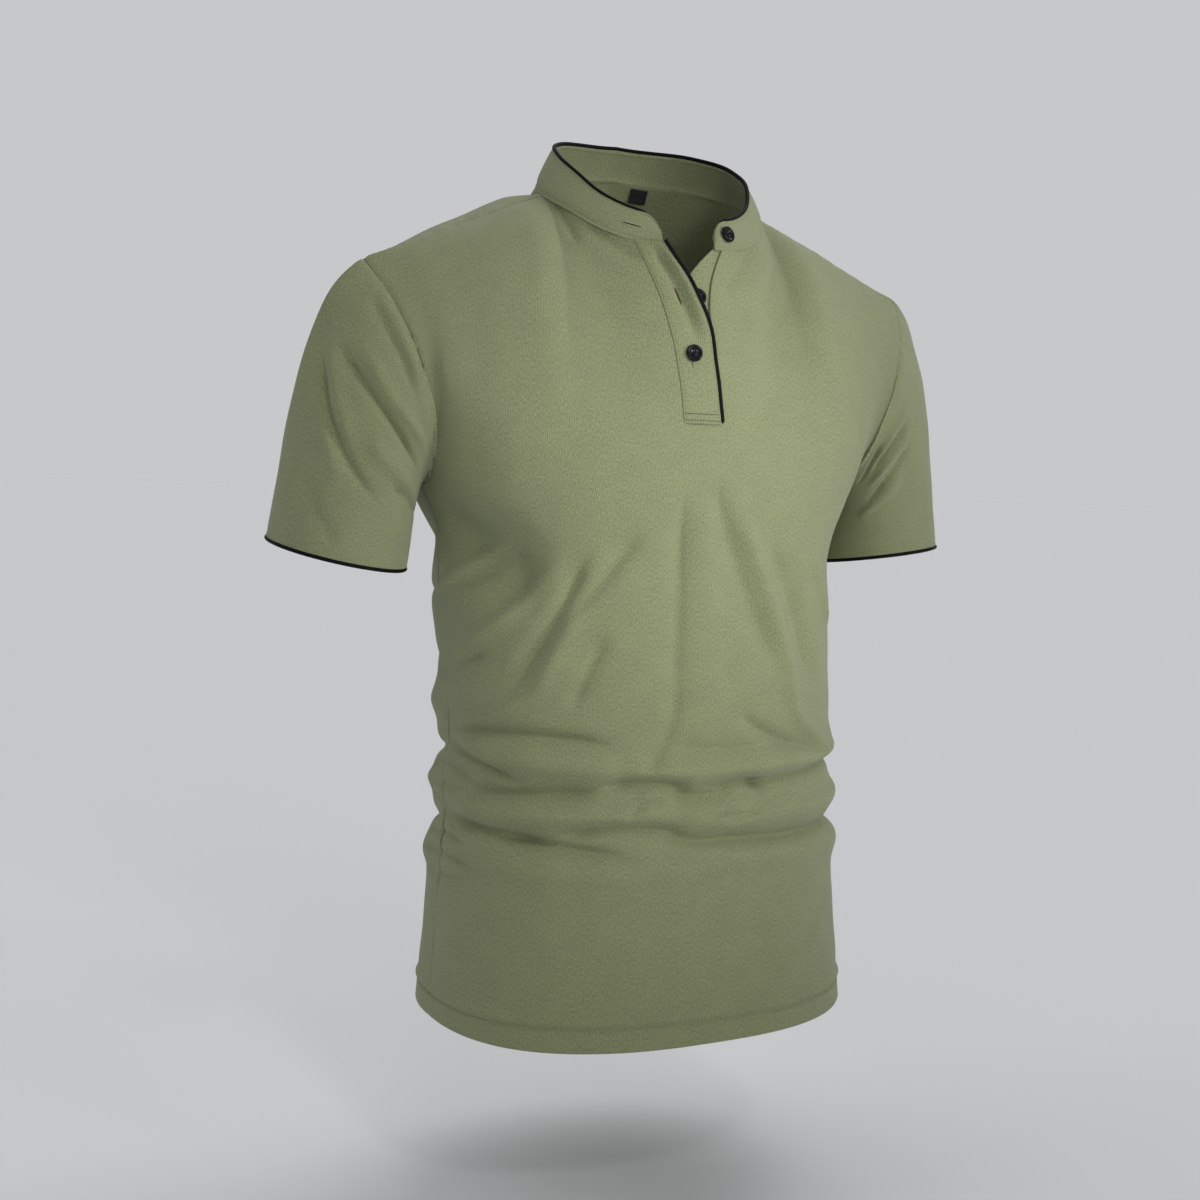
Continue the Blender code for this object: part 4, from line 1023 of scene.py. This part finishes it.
CORD_SHARE = 0.985  # share of the strip's width at which the piping starts
CORD_OUT, CORD_DOWN = 0.0011, 0.0001  # its middle from there, past the edge and into the cloth
CORD_RADIUS, CORD_FLATTEN = 0.0015, 0.75
CORD_BEYOND = 0.0008  # a sleeve's piping past the edge of its hem


def placket_piping(paint):
    v = strip_rows()[2:]
    places, u = upper_strip_point(np.array([CORD_SHARE]), v)
    normals = outward(FRONT, u, v[:, None])[:, 0]
    along = unit(np.gradient(places[:, 0], axis=0))
    beside = np.cross(along, normals)
    centres = places[:, 0] + beside * CORD_OUT - normals * CORD_DOWN
    made = tube("placket_piping_cord", centres, CORD_RADIUS, paint, flatten=CORD_FLATTEN, over=normals)
    ride(made, "piping", "placket_piping")


# ---------------------------------------------------------------- collar
def collar_path():
    """The neck seam from the collar's right front end round the back to its left one."""
    right, left = (abs(x) / NECK_HALF_WIDTH for x in (PLACKET[-1].upper_edge, PLACKET[-1].under_edge))
    front_right = neck_seam(FRONT, -np.sin(np.linspace(math.asin(right), math.pi / 2, 300)))
    back_half = neck_seam(BACK, -np.cos(np.linspace(0, math.pi, 600)[1:-1]))
    front_left = neck_seam(FRONT, np.sin(np.linspace(math.pi / 2, math.asin(left), 300)))
    path = np.concatenate([front_right, back_half, front_left])
    so_far = steps_along(path)
    length = so_far[-1]
    corner = COLLAR_CORNER * (1 - np.cos(np.linspace(0, math.pi / 2, COLLAR_CORNER_COLUMNS)))
    count = round((length - 2 * COLLAR_CORNER) / COLLAR_STEP)
    middle = np.linspace(COLLAR_CORNER, length - COLLAR_CORNER, count + 1)[1:-1]
    steps = np.concatenate([corner, middle, length - corner[::-1]])
    return read_along(so_far, path, steps), steps, length


# For each column: lower edge, way up the band, share of it left by the rounded ends, way out of the
# cloth, and distance from the right end; and the whole length
Collar = namedtuple("Collar", "base full rounded out steps length")


def collar_frame():
    base, steps, length = collar_path()
    x, y = base[:, 0] / NECK_HALF_WIDTH, (base[:, 1] - NECK_CENTRE) / NECK_BACK_DEPTH
    angle = np.degrees(np.arctan2(np.abs(x), -y))
    rise, lean = column(COLLAR, "rise", "angle", angle), column(COLLAR, "lean", "angle", angle)
    away = unit(np.stack([x, y, np.zeros(len(x))], axis=-1))
    from_end = np.minimum(steps, length - steps)
    rounded = np.sqrt(np.clip(1 - (1 - np.clip(from_end / COLLAR_CORNER, 0, 1)) ** 2, 0, 1))
    rounded = np.maximum(rounded, COLLAR_END_HEIGHT / rise)
    full = rise[:, None] * [0, 0, 1] - lean[:, None] * away
    out = unit(np.cross(full, np.gradient(base, axis=0)))
    return Collar(base, full, rounded, out, steps, length)


def collar_point(share, collar, out=0.0):
    """share runs up the band, from its seam to its top edge; it may be one number or one per column."""
    share = np.broadcast_to(share, collar.steps.shape)
    up = collar.full * collar.rounded[:, None]
    full_height = np.linalg.norm(up, axis=1)
    height = share * full_height
    from_end = np.minimum(collar.steps, collar.length - collar.steps)
    profile = COLLAR_FACE + (DOUBLE_CLOTH - COLLAR_FACE) * smooth_step(-0.0005, 0.0080, height)
    profile = profile - COLLAR_THINNING * smooth_step(0.5, 1, share)
    profile = profile + unevenness(collar.steps, height, 5) * 0.8
    profile = profile + rolled(height + COLLAR_TUCK, 0.0005, 0.0010) + rolled(from_end, 0.0006, 0.0012)
    stitched = COLLAR_GROOVE * smooth_step(0.004, 0.007, full_height)
    for line in (height - COLLAR_STITCHING, full_height - height - COLLAR_STITCHING):
        profile = profile - stitched * bump(line, 0, COLLAR_GROOVE_REACH)
    share = share[..., None]
    below = unit(collar.full) * COLLAR_TUCK * (1 - share)
    return collar.base - below + up * share + collar.out * (profile + out)[:, None]


def collar_band(paint, collar):
    shares = np.unique(np.concatenate([np.linspace(*rows) for rows in COLLAR_ROWS]))
    places = np.stack([collar_point(share, collar) for share in shares])
    cloth = flat_places(collar.steps[None, :], (shares * COLLAR_HEIGHT)[:, None])
    made = grid_mesh("collar_band_cloth", places, cloth, paint, DOUBLE_CLOTH, flip=True)
    ride(made, "knit_band", "collar_band")


PIPING_START = 0.80  # share of each rounded corner that the piping leaves free
PIPING_RISE = 0.0010  # its middle above the band's top edge


def collar_piping(paint, collar):
    steps, start = collar.steps, COLLAR_CORNER * PIPING_START
    inside = (steps > start) & (steps < collar.length - start)
    centres = collar_point(1.0, collar, -DOUBLE_CLOTH / 2) + unit(collar.full) * PIPING_RISE
    from_end = np.minimum(steps - steps[inside][0], steps[inside][-1] - steps)[inside]
    radii = PIPING_RADIUS * (0.25 + 0.80 * smooth_step(0, 0.006, from_end))
    made = tube("collar_piping_cord", centres[inside], radii, paint, over=collar.out[inside])
    ride(made, "piping", "collar_piping")


def neck_label(paint, thread):
    x = np.array([LABEL_CENTRE - LABEL_WIDTH / 2, LABEL_CENTRE + LABEL_WIDTH / 2])
    top = 1 - LABEL_TOP
    u = np.linspace(*u_at(BACK, x, [top, top]), 16)
    height = smooth_body(BACK, u[8], np.array([top, top - 0.05]))[:, 2]
    v = np.linspace(top - LABEL_DROP * 0.05 / (height[0] - height[1]), top, 14)
    share = np.linspace(0, 1, len(v))[:, None]
    hang = -0.0008 * (1 - share) ** 2 - 0.0002 * np.sin(np.linspace(0, math.pi, len(u)))[None, :]
    u, v = u[None, :], v[:, None]
    places = body_point(BACK, u, v, -CLOTH - LABEL_TAPE + hang)
    made = grid_mesh("neck_label_tape", places, cloth_place(u, v), paint, LABEL_TAPE, flip=True)
    ride(made, "label", "neck_label")
    normals = -outward(BACK, u, v)
    row = places[-3] + normals[-3] * 0.0007
    ride(stitch_line("neck_label_stitches", row, normals[-3], thread, LABEL_STITCH), "label")


# ---------------------------------------------------------------- sleeves
def up_armhole(turn):
    """Share of the armhole's height at a turn round the sleeve."""
    return np.where(turn <= 0.5, turn * 2, 2 - turn * 2)


def sleeve_ends(row, turn, spare=0.0):
    """Armhole seam, hem, direction along the sleeve at the hem, and how far over the shoulder."""
    share = up_armhole(turn)
    front, back = armhole(FRONT, share, row.side), armhole(BACK, share, row.side)
    start = np.where((turn <= 0.5)[..., None], front, back)
    outwards, forwards = -np.cos(turn * 2 * math.pi), np.sin(turn * 2 * math.pi)
    tip_out, tip_front = math.radians(row.tip_out), math.radians(row.tip_front)
    across = np.array([row.side * math.cos(tip_out), 0, math.sin(tip_out)])
    ahead = np.array([0, -math.cos(tip_front), -math.sin(tip_front)])
    axis = np.cross(across, ahead) * row.side
    centre = np.array([row.side * row.out, row.back, row.height]) + axis * spare
    sideways, forwards = (outwards * row.half_width)[..., None], (forwards * row.half_depth)[..., None]
    end = centre + sideways * across + forwards * ahead
    return start, end, axis, ((1 + outwards) / 2)[..., None]


def smooth_sleeve(row, turn, down):
    start, end, axis, over = sleeve_ends(row, turn)
    cap = np.array([row.side * row.cap_out, 0, CAP_FALL])
    leave = over * cap + (1 - over) * [row.side, 1, 1] * np.array(UNDERARM_LEAVE)
    arrive = (over * CAP_ARRIVE + (1 - over) * UNDERARM_ARRIVE) * axis
    return hermite(start, leave, end, arrive, down)


def sleeve_outward(row, turn, down):
    step = NORMAL_STEP
    along = smooth_sleeve(row, turn + step, down) - smooth_sleeve(row, turn - step, down)
    fall = smooth_sleeve(row, turn, down + step) - smooth_sleeve(row, turn, down - step)
    return unit(np.cross(along, fall) * -row.side)


def sleeve_folds(row, turn, down):
    places = np.stack([turn * SLEEVE_GIRTH, down * SLEEVE_LENGTH], axis=-1)
    total = np.zeros(turn.shape)
    for f in SLEEVE_FOLDS:
        if f.side == row.side:
            through = ((f.turn1, f.down1), (f.turn2, f.down2), (f.turn3, f.down3))
            through = [(turn_at * SLEEVE_GIRTH, down_at * SLEEVE_LENGTH) for turn_at, down_at in through]
            total += fold_shape(places, *through, f.reach, f.depth)
    return total


def inset(share):
    """The same, away from the sleeve's ends far enough to have a normal."""
    return np.clip(share, NORMAL_STEP, 1 - NORMAL_STEP)


def armhole_gap(row, turn):
    """From the sleeve's own first row to the edge of the panels that it is sewn to."""
    share = up_armhole(turn)
    edges = [body_point(side, np.full(turn.shape, float(row.side)), share) for side in (FRONT, BACK)]
    edge = np.where((turn <= 0.5)[..., None], *edges)
    zero = np.zeros(turn.shape)
    normal = sleeve_outward(row, inset(turn), inset(zero))
    depth = sleeve_folds(row, turn, zero) + seam(zero, turn * SLEEVE_GIRTH)
    return edge - smooth_sleeve(row, turn, zero) - normal * depth[..., None]


def sleeve_point(row, turn, down, out=0.0):
    turn, down = np.broadcast_arrays(np.asarray(turn, float), np.asarray(down, float))
    s, t = turn * SLEEVE_GIRTH, down * SLEEVE_LENGTH
    swell = 0.5 - 0.5 * np.cos(turn * 2 * math.pi)
    detail = unevenness(s, t, row.side * 3) * swell * smooth_step(0, 0.02, SLEEVE_LENGTH - t)
    detail = detail + sleeve_folds(row, turn, down) + seam(t, s)
    detail = detail - 0.0004 * bump(SLEEVE_LENGTH - t, 0.0030, 0.0010) * swell
    normal = sleeve_outward(row, inset(turn), inset(down))
    places = smooth_sleeve(row, turn, down) + normal * (detail + out)[..., None]
    return places + armhole_gap(row, turn) * bump(t, 0, 0.0035)[..., None], normal


def sleeve(row, paint, trim, thread):
    name = "left" if row.side == LEFT else "right"
    turn = np.arange(SLEEVE_COLUMNS) / SLEEVE_COLUMNS
    down = with_seam_lines(SLEEVE_LENGTH, PANEL_STEP) / SLEEVE_LENGTH
    places, _ = sleeve_point(row, turn[None, :], down[:, None])
    cloth = flat_places(np.append(turn, 1.0)[None, :] * SLEEVE_GIRTH, down[:, None] * -SLEEVE_LENGTH)
    inward = row.side == LEFT
    made = grid_mesh(f"sleeve_{name}_cloth", places, cloth, paint, CLOTH, closed=True, flip=inward)
    ride(made, "knit", f"sleeve_{name}")
    end = sleeve_ends(row, turn, CORD_BEYOND)[1]
    inwards = unit(end.mean(axis=0) - end)
    cord = tube(f"sleeve_{name}_piping_cord", end + inwards * CLOTH / 2, CORD_RADIUS, trim, closed=True)
    ride(cord, "piping", f"sleeve_piping_{name}")
    turn = np.append(np.arange(260) / 260, 1)
    path, over = sleeve_point(row, turn, 1 - SLEEVE_STITCHING / SLEEVE_LENGTH, ON_CLOTH)
    ride(stitch_line(f"sleeve_{name}_stitches", path, over, thread), "knit")


# ---------------------------------------------------------------- stitching
def body_stitches(thread):
    u = np.linspace(-1, 1, 500)
    v = np.full(len(u), HEM_TURN / BODY_LENGTH - 1)
    for side, name in ((FRONT, "front"), (BACK, "back")):
        path, over = body_point(side, u, v, ON_CLOTH), outward(side, u, v)
        ride(stitch_line(f"hem_stitches_{name}", path, over, thread, HEM_STITCH), "knit")


def placket_stitches(thread, bar_thread):
    v = strip_rows()[3:-2]
    for name, share in zip(("seam", "edge"), STRIP_STITCHING):
        places, u = upper_strip_point(np.array([share]), v, ON_CLOTH)
        over = outward(FRONT, u, v[:, None])[:, 0]
        ride(stitch_line(f"placket_stitches_{name}", places[:, 0], over, thread), "knit_band")
    bar_v = np.full(1, v_at(PLACKET_BAR))
    shares = np.linspace(0.03, 0.97, 40)
    for name, drop in (("bar", 0.0), ("foot", BAR_TO_FOOT)):
        at = np.concatenate([strip_rows()[:1], bar_v - drop / CHEST_LENGTH])
        places, u = upper_strip_point(shares, at, ON_CLOTH)
        over = outward(FRONT, u, at[:, None])
        path = places[1] + over[1] * ON_CLOTH
        ride(stitch_line(f"placket_stitches_{name}", path, over[1], bar_thread, BAR_STITCH), "knit_band")


def collar_stitches(thread, collar):
    height = np.linalg.norm(collar.full, axis=1) * collar.rounded
    from_end = np.minimum(collar.steps, collar.length - collar.steps)
    keep = (from_end > COLLAR_STITCHING) & (height > STITCHED_HEIGHT)
    over = collar.out[keep]
    for name, share in (("top", 1 - COLLAR_STITCHING / height), ("base", COLLAR_STITCHING / height)):
        path = collar_point(share, collar, ON_CLOTH)[keep]
        ride(stitch_line(f"collar_stitches_{name}", path, over, thread), "knit_band")
        path = collar_point(share, collar, -DOUBLE_CLOTH - ON_CLOTH)[keep]
        ride(stitch_line(f"collar_stitches_{name}_inside", path, -over, thread), "knit_band")


# ---------------------------------------------------------------- buttons
# From the middle of the face round to the middle of the back
ProfileRow = namedtuple("ProfileRow", "radius height")
BUTTON_PROFILE = (
    ProfileRow(0.0000, 0.00150),
    ProfileRow(0.0026, 0.00150),
    ProfileRow(0.0034, 0.00175),
    ProfileRow(0.0042, 0.00240),
    ProfileRow(0.0049, 0.00265),
    ProfileRow(0.0055, 0.00245),
    ProfileRow(0.0059, 0.00195),
    ProfileRow(0.0060, 0.00135),
    ProfileRow(0.0057, 0.00070),
    ProfileRow(0.0050, 0.00025),
    ProfileRow(0.0040, 0.00010),
    ProfileRow(0.0000, 0.00010),
)
BUTTON_HOLE, HOLE_RADIUS = 0.00125, 0.00062  # the four holes' distance from the middle, each way
DRILL_LENGTH, DRILL_MIDDLE = 0.006, 0.001
THREAD_RADIUS = 0.00036
THREAD_LOW, THREAD_ARCH, THREAD_END = 0.00155, 0.00045, 0.0006  # heights of the threads in the holes


def turned(name, profile, paint, sides=48):
    """A body turned about Z from a profile that starts and ends on the axis."""
    turn = circle(sides)
    rings = profile[1:-1]
    corners = [points(0, 0, [row.height]) for row in (profile[0], profile[-1])]
    corners += [points(row.radius * np.cos(turn), row.radius * np.sin(turn), row.height) for row in rings]
    faces = []
    last = 2 + (len(rings) - 1) * sides
    for j in range(sides):
        k = (j + 1) % sides
        faces.append((0, 2 + j, 2 + k))
        faces.append((1, last + k, last + j))
        for i in range(len(rings) - 1):
            a, b = 2 + i * sides, 2 + (i + 1) * sides
            faces.append((a + j, b + j, b + k, a + k))
    return plain_mesh(name, np.concatenate(corners), faces, paint)


def drilled_button(paint):
    """Mesh of a button with four holes."""
    body = turned("button_blank", BUTTON_PROFILE, paint)
    drills = bmesh.new()
    for x in (-BUTTON_HOLE, BUTTON_HOLE):
        for y in (-BUTTON_HOLE, BUTTON_HOLE):
            bmesh.ops.create_cone(
                drills,
                cap_ends=True,
                segments=16,
                radius1=HOLE_RADIUS,
                radius2=HOLE_RADIUS,
                depth=DRILL_LENGTH,
                matrix=Matrix.Translation((x, y, DRILL_MIDDLE)),
            )
    mesh = bpy.data.meshes.new("button_drills")
    drills.to_mesh(mesh)
    drills.free()
    cutter = link(bpy.data.objects.new("button_drills", mesh))
    cut = body.modifiers.new("Holes", "BOOLEAN")
    cut.object = cutter
    made = bpy.data.meshes.new_from_object(body.evaluated_get(bpy.context.evaluated_depsgraph_get()))
    made.set_sharp_from_angle(angle=math.radians(40))
    for scrap in (body, cutter):
        bpy.data.objects.remove(scrap)
    return made


def button(name, mesh, place, normal, turn, thread, node):
    """A sewn-on button whose back lies on place, with its crossing threads."""
    normal = Vector(normal).normalized()
    made = link(bpy.data.objects.new(name, mesh))
    facing = normal.to_track_quat("Z", "Y").to_matrix().to_4x4()
    made.matrix_world = Matrix.Translation(Vector(place)) @ facing @ Matrix.Rotation(turn, 4, "Z")
    ride(made, "button", node)
    matrix = np.array(made.matrix_world)
    for index, y in enumerate((-BUTTON_HOLE, BUTTON_HOLE)):
        x = np.linspace(-BUTTON_HOLE, BUTTON_HOLE, 9)
        arch = THREAD_LOW + THREAD_ARCH * np.cos(x / BUTTON_HOLE * math.pi / 2) ** 0.6
        arch[[0, -1]] = THREAD_END
        path = points(x, y, arch) @ matrix[:3, :3].T + matrix[:3, 3]
        ride(tube(f"{name}_thread_{index}", path, THREAD_RADIUS, thread, sides=8), "button")


def placket_button(name, mesh, x, height, out, turn, thread, node):
    v = v_at(height)
    u = u_at(FRONT, [x], [v])[0]
    place = body_point(FRONT, u, v, out, detailed=False)
    button(name, mesh, place, outward(FRONT, u, v), turn, thread, node)


def collar_button(mesh, collar, thread):
    j = int(np.argmin(np.abs(collar.steps - (collar.length - COLLAR_BUTTON_INSET))))
    place = collar_point(COLLAR_BUTTON_SHARE, collar)[j] + collar.out[j] * COLLAR_BUTTON_LIFT
    button("button_collar_resin", mesh, place, collar.out[j], 0.5, thread, "button_collar")


HOLE_STITCH = Stitch(0.00045, 0.0011, 0.00024)
HOLE_HALF_WIDTH = 0.00085  # from the slit to the middle of its stitches
BAR_BEYOND, BAR_SPACING = 0.0004, 0.0006  # the bars past the slit's ends, and between their threads
SLIT_STEPS = 12
# A black cord along a buttonhole's cut, painted shade for the dark gap in the cloth: its radius, its tips
# and its height above the cloth
SLIT_RADIUS, SLIT_TIP, SLIT_LIFT = 0.00035, 0.00004, 0.00005
SLIT_TAPER = 0.15  # radians of the half turn left off at each end


def buttonhole(name, centre, along, over, size, thread, slit_shade):
    """Close cross stitches round the cut, with a bar at each end, and a black cord along the cut that
    paints its shade.
    """
    across = unit(np.cross(over, along))
    places = np.linspace(-size / 2, size / 2, round(size / HOLE_STITCH.pitch))[:, None]
    sides = [centre + along * places + across * way * HOLE_HALF_WIDTH for way in (-1, 1)]
    bars = [
        centre + along * way * (size / 2 + BAR_BEYOND) + across * shift
        for way in (-1, 1)
        for shift in (-BAR_SPACING, 0.0, BAR_SPACING)
    ]
    centres = np.concatenate([*sides, bars])
    threads = np.concatenate([np.tile(across, (2 * len(places), 1)), np.tile(along, (len(bars), 1))])
    facing = np.tile(over, (len(centres), 1))
    length, radius = HOLE_STITCH.length, HOLE_STITCH.radius
    ride(stitch_mesh(name, centres, threads, facing, length, radius, thread), "knit_band")
    # Painted shade: a thin black cord raised on the cloth stands for the dark gap of the cut
    cut = centre + along * np.linspace(-size / 2, size / 2, SLIT_STEPS)[:, None] + over * SLIT_LIFT
    swell = np.sin(np.linspace(SLIT_TAPER, math.pi - SLIT_TAPER, SLIT_STEPS))
    facing = np.tile(over, (SLIT_STEPS, 1))
    radii = SLIT_RADIUS * swell + SLIT_TIP
    ride(tube(f"{name}_slit", cut, radii, slit_shade, sides=8, flatten=0.5, over=facing), "piping")


def strip_line(share, heights, out):
    """Places at a share of the upper strip's width and at some heights, with the way out of the cloth."""
    v = np.concatenate([strip_rows()[:1], v_at(np.array(heights))])
    places, u = upper_strip_point(np.array([share]), v, out)
    return places[1:, 0], outward(FRONT, u, v[:, None])[1:, 0]


def buttonholes(collar, thread, brown, slit_shade):
    j = int(np.argmin(np.abs(collar.steps - COLLAR_HOLE_INSET)))
    centre = collar_point(COLLAR_HOLE_SHARE, collar, ON_CLOTH)[j]
    along = unit(collar.base[j + 1] - collar.base[j - 1])
    buttonhole("buttonhole_collar", centre, along, collar.out[j], 0.0130, thread, slit_shade)
    (low, centre, high), over = strip_line(0.50, PLACKET_HOLE, ON_CLOTH)
    buttonhole("buttonhole_placket", centre, unit(high - low), over[1], 0.0110, brown, slit_shade)
    tail, _ = strip_line(0.36, THREAD_TAIL, 0.0003)
    ride(tube("button_lower_thread_tail", tail, 0.00020, brown, sides=6), "button")


# ---------------------------------------------------------------- studio
CAMERA_PLACE = (-0.5743, -1.1620, -0.2003)
CAMERA_AIM = (-0.0267, 0.0137, -0.2897)
CAMERA_ROLL = 1.709
CAMERA_LENS, CAMERA_SENSOR = 52.59, 36
FLOOR, FLOOR_REACH = -0.71, 60.0
BACKDROP = (0.571, 0.577, 0.590)  # radiance behind the shirt, which the floor reaches as well
ELSEWHERE = 0.52  # share of it that comes from the other sides
BACKDROP_EDGE = (75, 28)  # angles from the backdrop's middle between which it grows to its full light
# Lights by azimuth from the front, towards the wearer's left, and by elevation
FarLight = namedtuple("FarLight", "name azimuth elevation power width")
FAR_LIGHTS = (
    FarLight("Front", 0, 8, 0.34, 40),
    FarLight("High", 0, 48, 0.13, 40),
    FarLight("Ceiling", 127, 59, 0.72, 44),
    FarLight("Behind", -118, 40, 0.24, 50),
)
Spot = namedtuple("Spot", "name azimuth elevation power spread x y z")  # aimed at x, y, z
SPOTS = (
    Spot("Side", 35, 14, 52, 22, 0.02, -0.08, -0.19),
    Spot("Middle", 0, 10, 27, 22, 0.02, -0.08, -0.19),
    Spot("Waist", 10, 10, 9, 16, 0, -0.10, -0.36),
    Spot("Waist top", 0, 45, 28, 13, 0, -0.10, -0.36),
    Spot("Collar", 48, 14, 48, 11, -0.01, 0.04, 0.03),
    Spot("Near", 10, 30, 5, 14, -0.10, -0.08, -0.13),
)
SPOT_DISTANCE, SPOT_RADIUS = 1.6, 0.20


def camera():
    place, aim = Vector(CAMERA_PLACE), Vector(CAMERA_AIM)
    ahead = (aim - place).normalized()
    level = ahead.cross(Vector((0, 0, 1))).normalized()
    above = level.cross(ahead)
    roll = math.radians(CAMERA_ROLL)
    right = level * math.cos(roll) + above * math.sin(roll)
    up = above * math.cos(roll) - level * math.sin(roll)
    data = bpy.data.cameras.new("Camera")
    data.lens = CAMERA_LENS
    data.sensor_width = CAMERA_SENSOR
    made = link(bpy.data.objects.new("Camera", data))
    made.matrix_world = Matrix.Translation(place) @ Matrix((right, up, -ahead)).transposed().to_4x4()
    bpy.context.scene.camera = made


def studio_floor():
    """A wide floor that meets the backdrop's light at the horizon."""
    edge = np.array([-FLOOR_REACH, FLOOR_REACH])
    corners = points(edge[None, :], edge[:, None], FLOOR).reshape(-1, 3)
    made = plain_mesh("studio_floor", corners, [(0, 1, 3, 2)], floor_look())


def light_from(azimuth, elevation):
    """Unit vector towards a light."""
    azimuth, elevation = math.radians(azimuth), math.radians(elevation)
    level = math.cos(elevation)
    return Vector((level * math.sin(azimuth), -level * math.cos(azimuth), math.sin(elevation)))


def hang_light(data, row, place=(0, 0, 0)):
    made = link(bpy.data.objects.new(row.name, data))
    made.location = place
    made.rotation_euler = light_from(row.azimuth, row.elevation).to_track_quat("Z", "Y").to_euler()


def backdrop_world():
    """Even light all round, stronger from behind the shirt as the camera sees it."""
    world = bpy.data.worlds.new("Studio")
    world.use_nodes = True
    tree = world.node_tree
    place = tree.nodes.new("ShaderNodeTexCoord")
    towards = tree.nodes.new("ShaderNodeVectorMath")
    towards.operation = "DOT_PRODUCT"
    ahead = Vector(CAMERA_AIM) - Vector(CAMERA_PLACE)
    towards.inputs[1].default_value = Vector((ahead.x, ahead.y, 0)).normalized()
    grow = tree.nodes.new("ShaderNodeMapRange")
    grow.interpolation_type = "SMOOTHSTEP"
    outer, inner = BACKDROP_EDGE
    grow.inputs["From Min"].default_value = math.cos(math.radians(outer))
    grow.inputs["From Max"].default_value = math.cos(math.radians(inner))
    mix = tree.nodes.new("ShaderNodeMix")
    mix.data_type = "RGBA"
    mix.inputs[6].default_value = (*(ELSEWHERE * value for value in BACKDROP), 1)
    mix.inputs[7].default_value = (*BACKDROP, 1)
    tree.links.new(place.outputs["Generated"], towards.inputs[0])
    tree.links.new(towards.outputs["Value"], grow.inputs["Value"])
    tree.links.new(grow.outputs["Result"], mix.inputs["Factor"])
    tree.links.new(mix.outputs[2], tree.nodes["Background"].inputs["Color"])
    bpy.context.scene.world = world


def studio_light():
    backdrop_world()
    for row in FAR_LIGHTS:
        data = bpy.data.lights.new(row.name, "SUN")
        data.energy = row.power
        data.angle = math.radians(row.width)
        hang_light(data, row)
    for row in SPOTS:
        data = bpy.data.lights.new(row.name, "SPOT")
        data.energy = row.power
        data.spot_size = math.radians(row.spread)
        data.spot_blend = 1.0
        data.shadow_soft_size = SPOT_RADIUS
        aim = Vector((row.x, row.y, row.z))
        hang_light(data, row, aim + light_from(row.azimuth, row.elevation) * SPOT_DISTANCE)
    bpy.context.scene.view_settings.view_transform = "Standard"


def main():
    cloth = knit("olive_knit", GREY_GREEN, YELLOW_GREEN)
    band = knit("olive_band", GREY_GREEN, YELLOW_GREEN)
    trim = piping_look()
    resin = button_look()
    thread = thread_look("olive_thread", (0.40, 0.43, 0.25), (0.24, 0.27, 0.14))
    brown = thread_look("brown_thread", (0.26, 0.16, 0.09), (0.14, 0.09, 0.05))
    deep = thread_look("deep_olive_thread", (0.060, 0.068, 0.036), (0.035, 0.040, 0.020))
    dark = thread_look("black_thread", (0.03, 0.03, 0.033), (0.012, 0.012, 0.014))
    collar = collar_frame()
    front_panel(cloth)
    back_panel(cloth)
    for row in SLEEVES:
        sleeve(row, cloth, trim, thread)
    upper_strip(band)
    under_strip(band)
    placket_piping(trim)
    collar_band(band, collar)
    collar_piping(trim, collar)
    neck_label(label_look(), dark)
    body_stitches(thread)
    placket_stitches(thread, deep)
    collar_stitches(thread, collar)
    shape = drilled_button(resin)
    placket_button("button_lower_resin", shape, *LOWER_BUTTON, BUTTON_LIFT, 0.6, dark, "button_lower")
    placket_button("button_middle_resin", shape, *MIDDLE_BUTTON, -CLOTH, 0.2, dark, "button_middle")
    collar_button(shape, collar, dark)
    # The piping's black also paints the shade in the buttonholes' cuts
    buttonholes(collar, thread, brown, trim)
    camera()
    studio_floor()
    studio_light()


main()
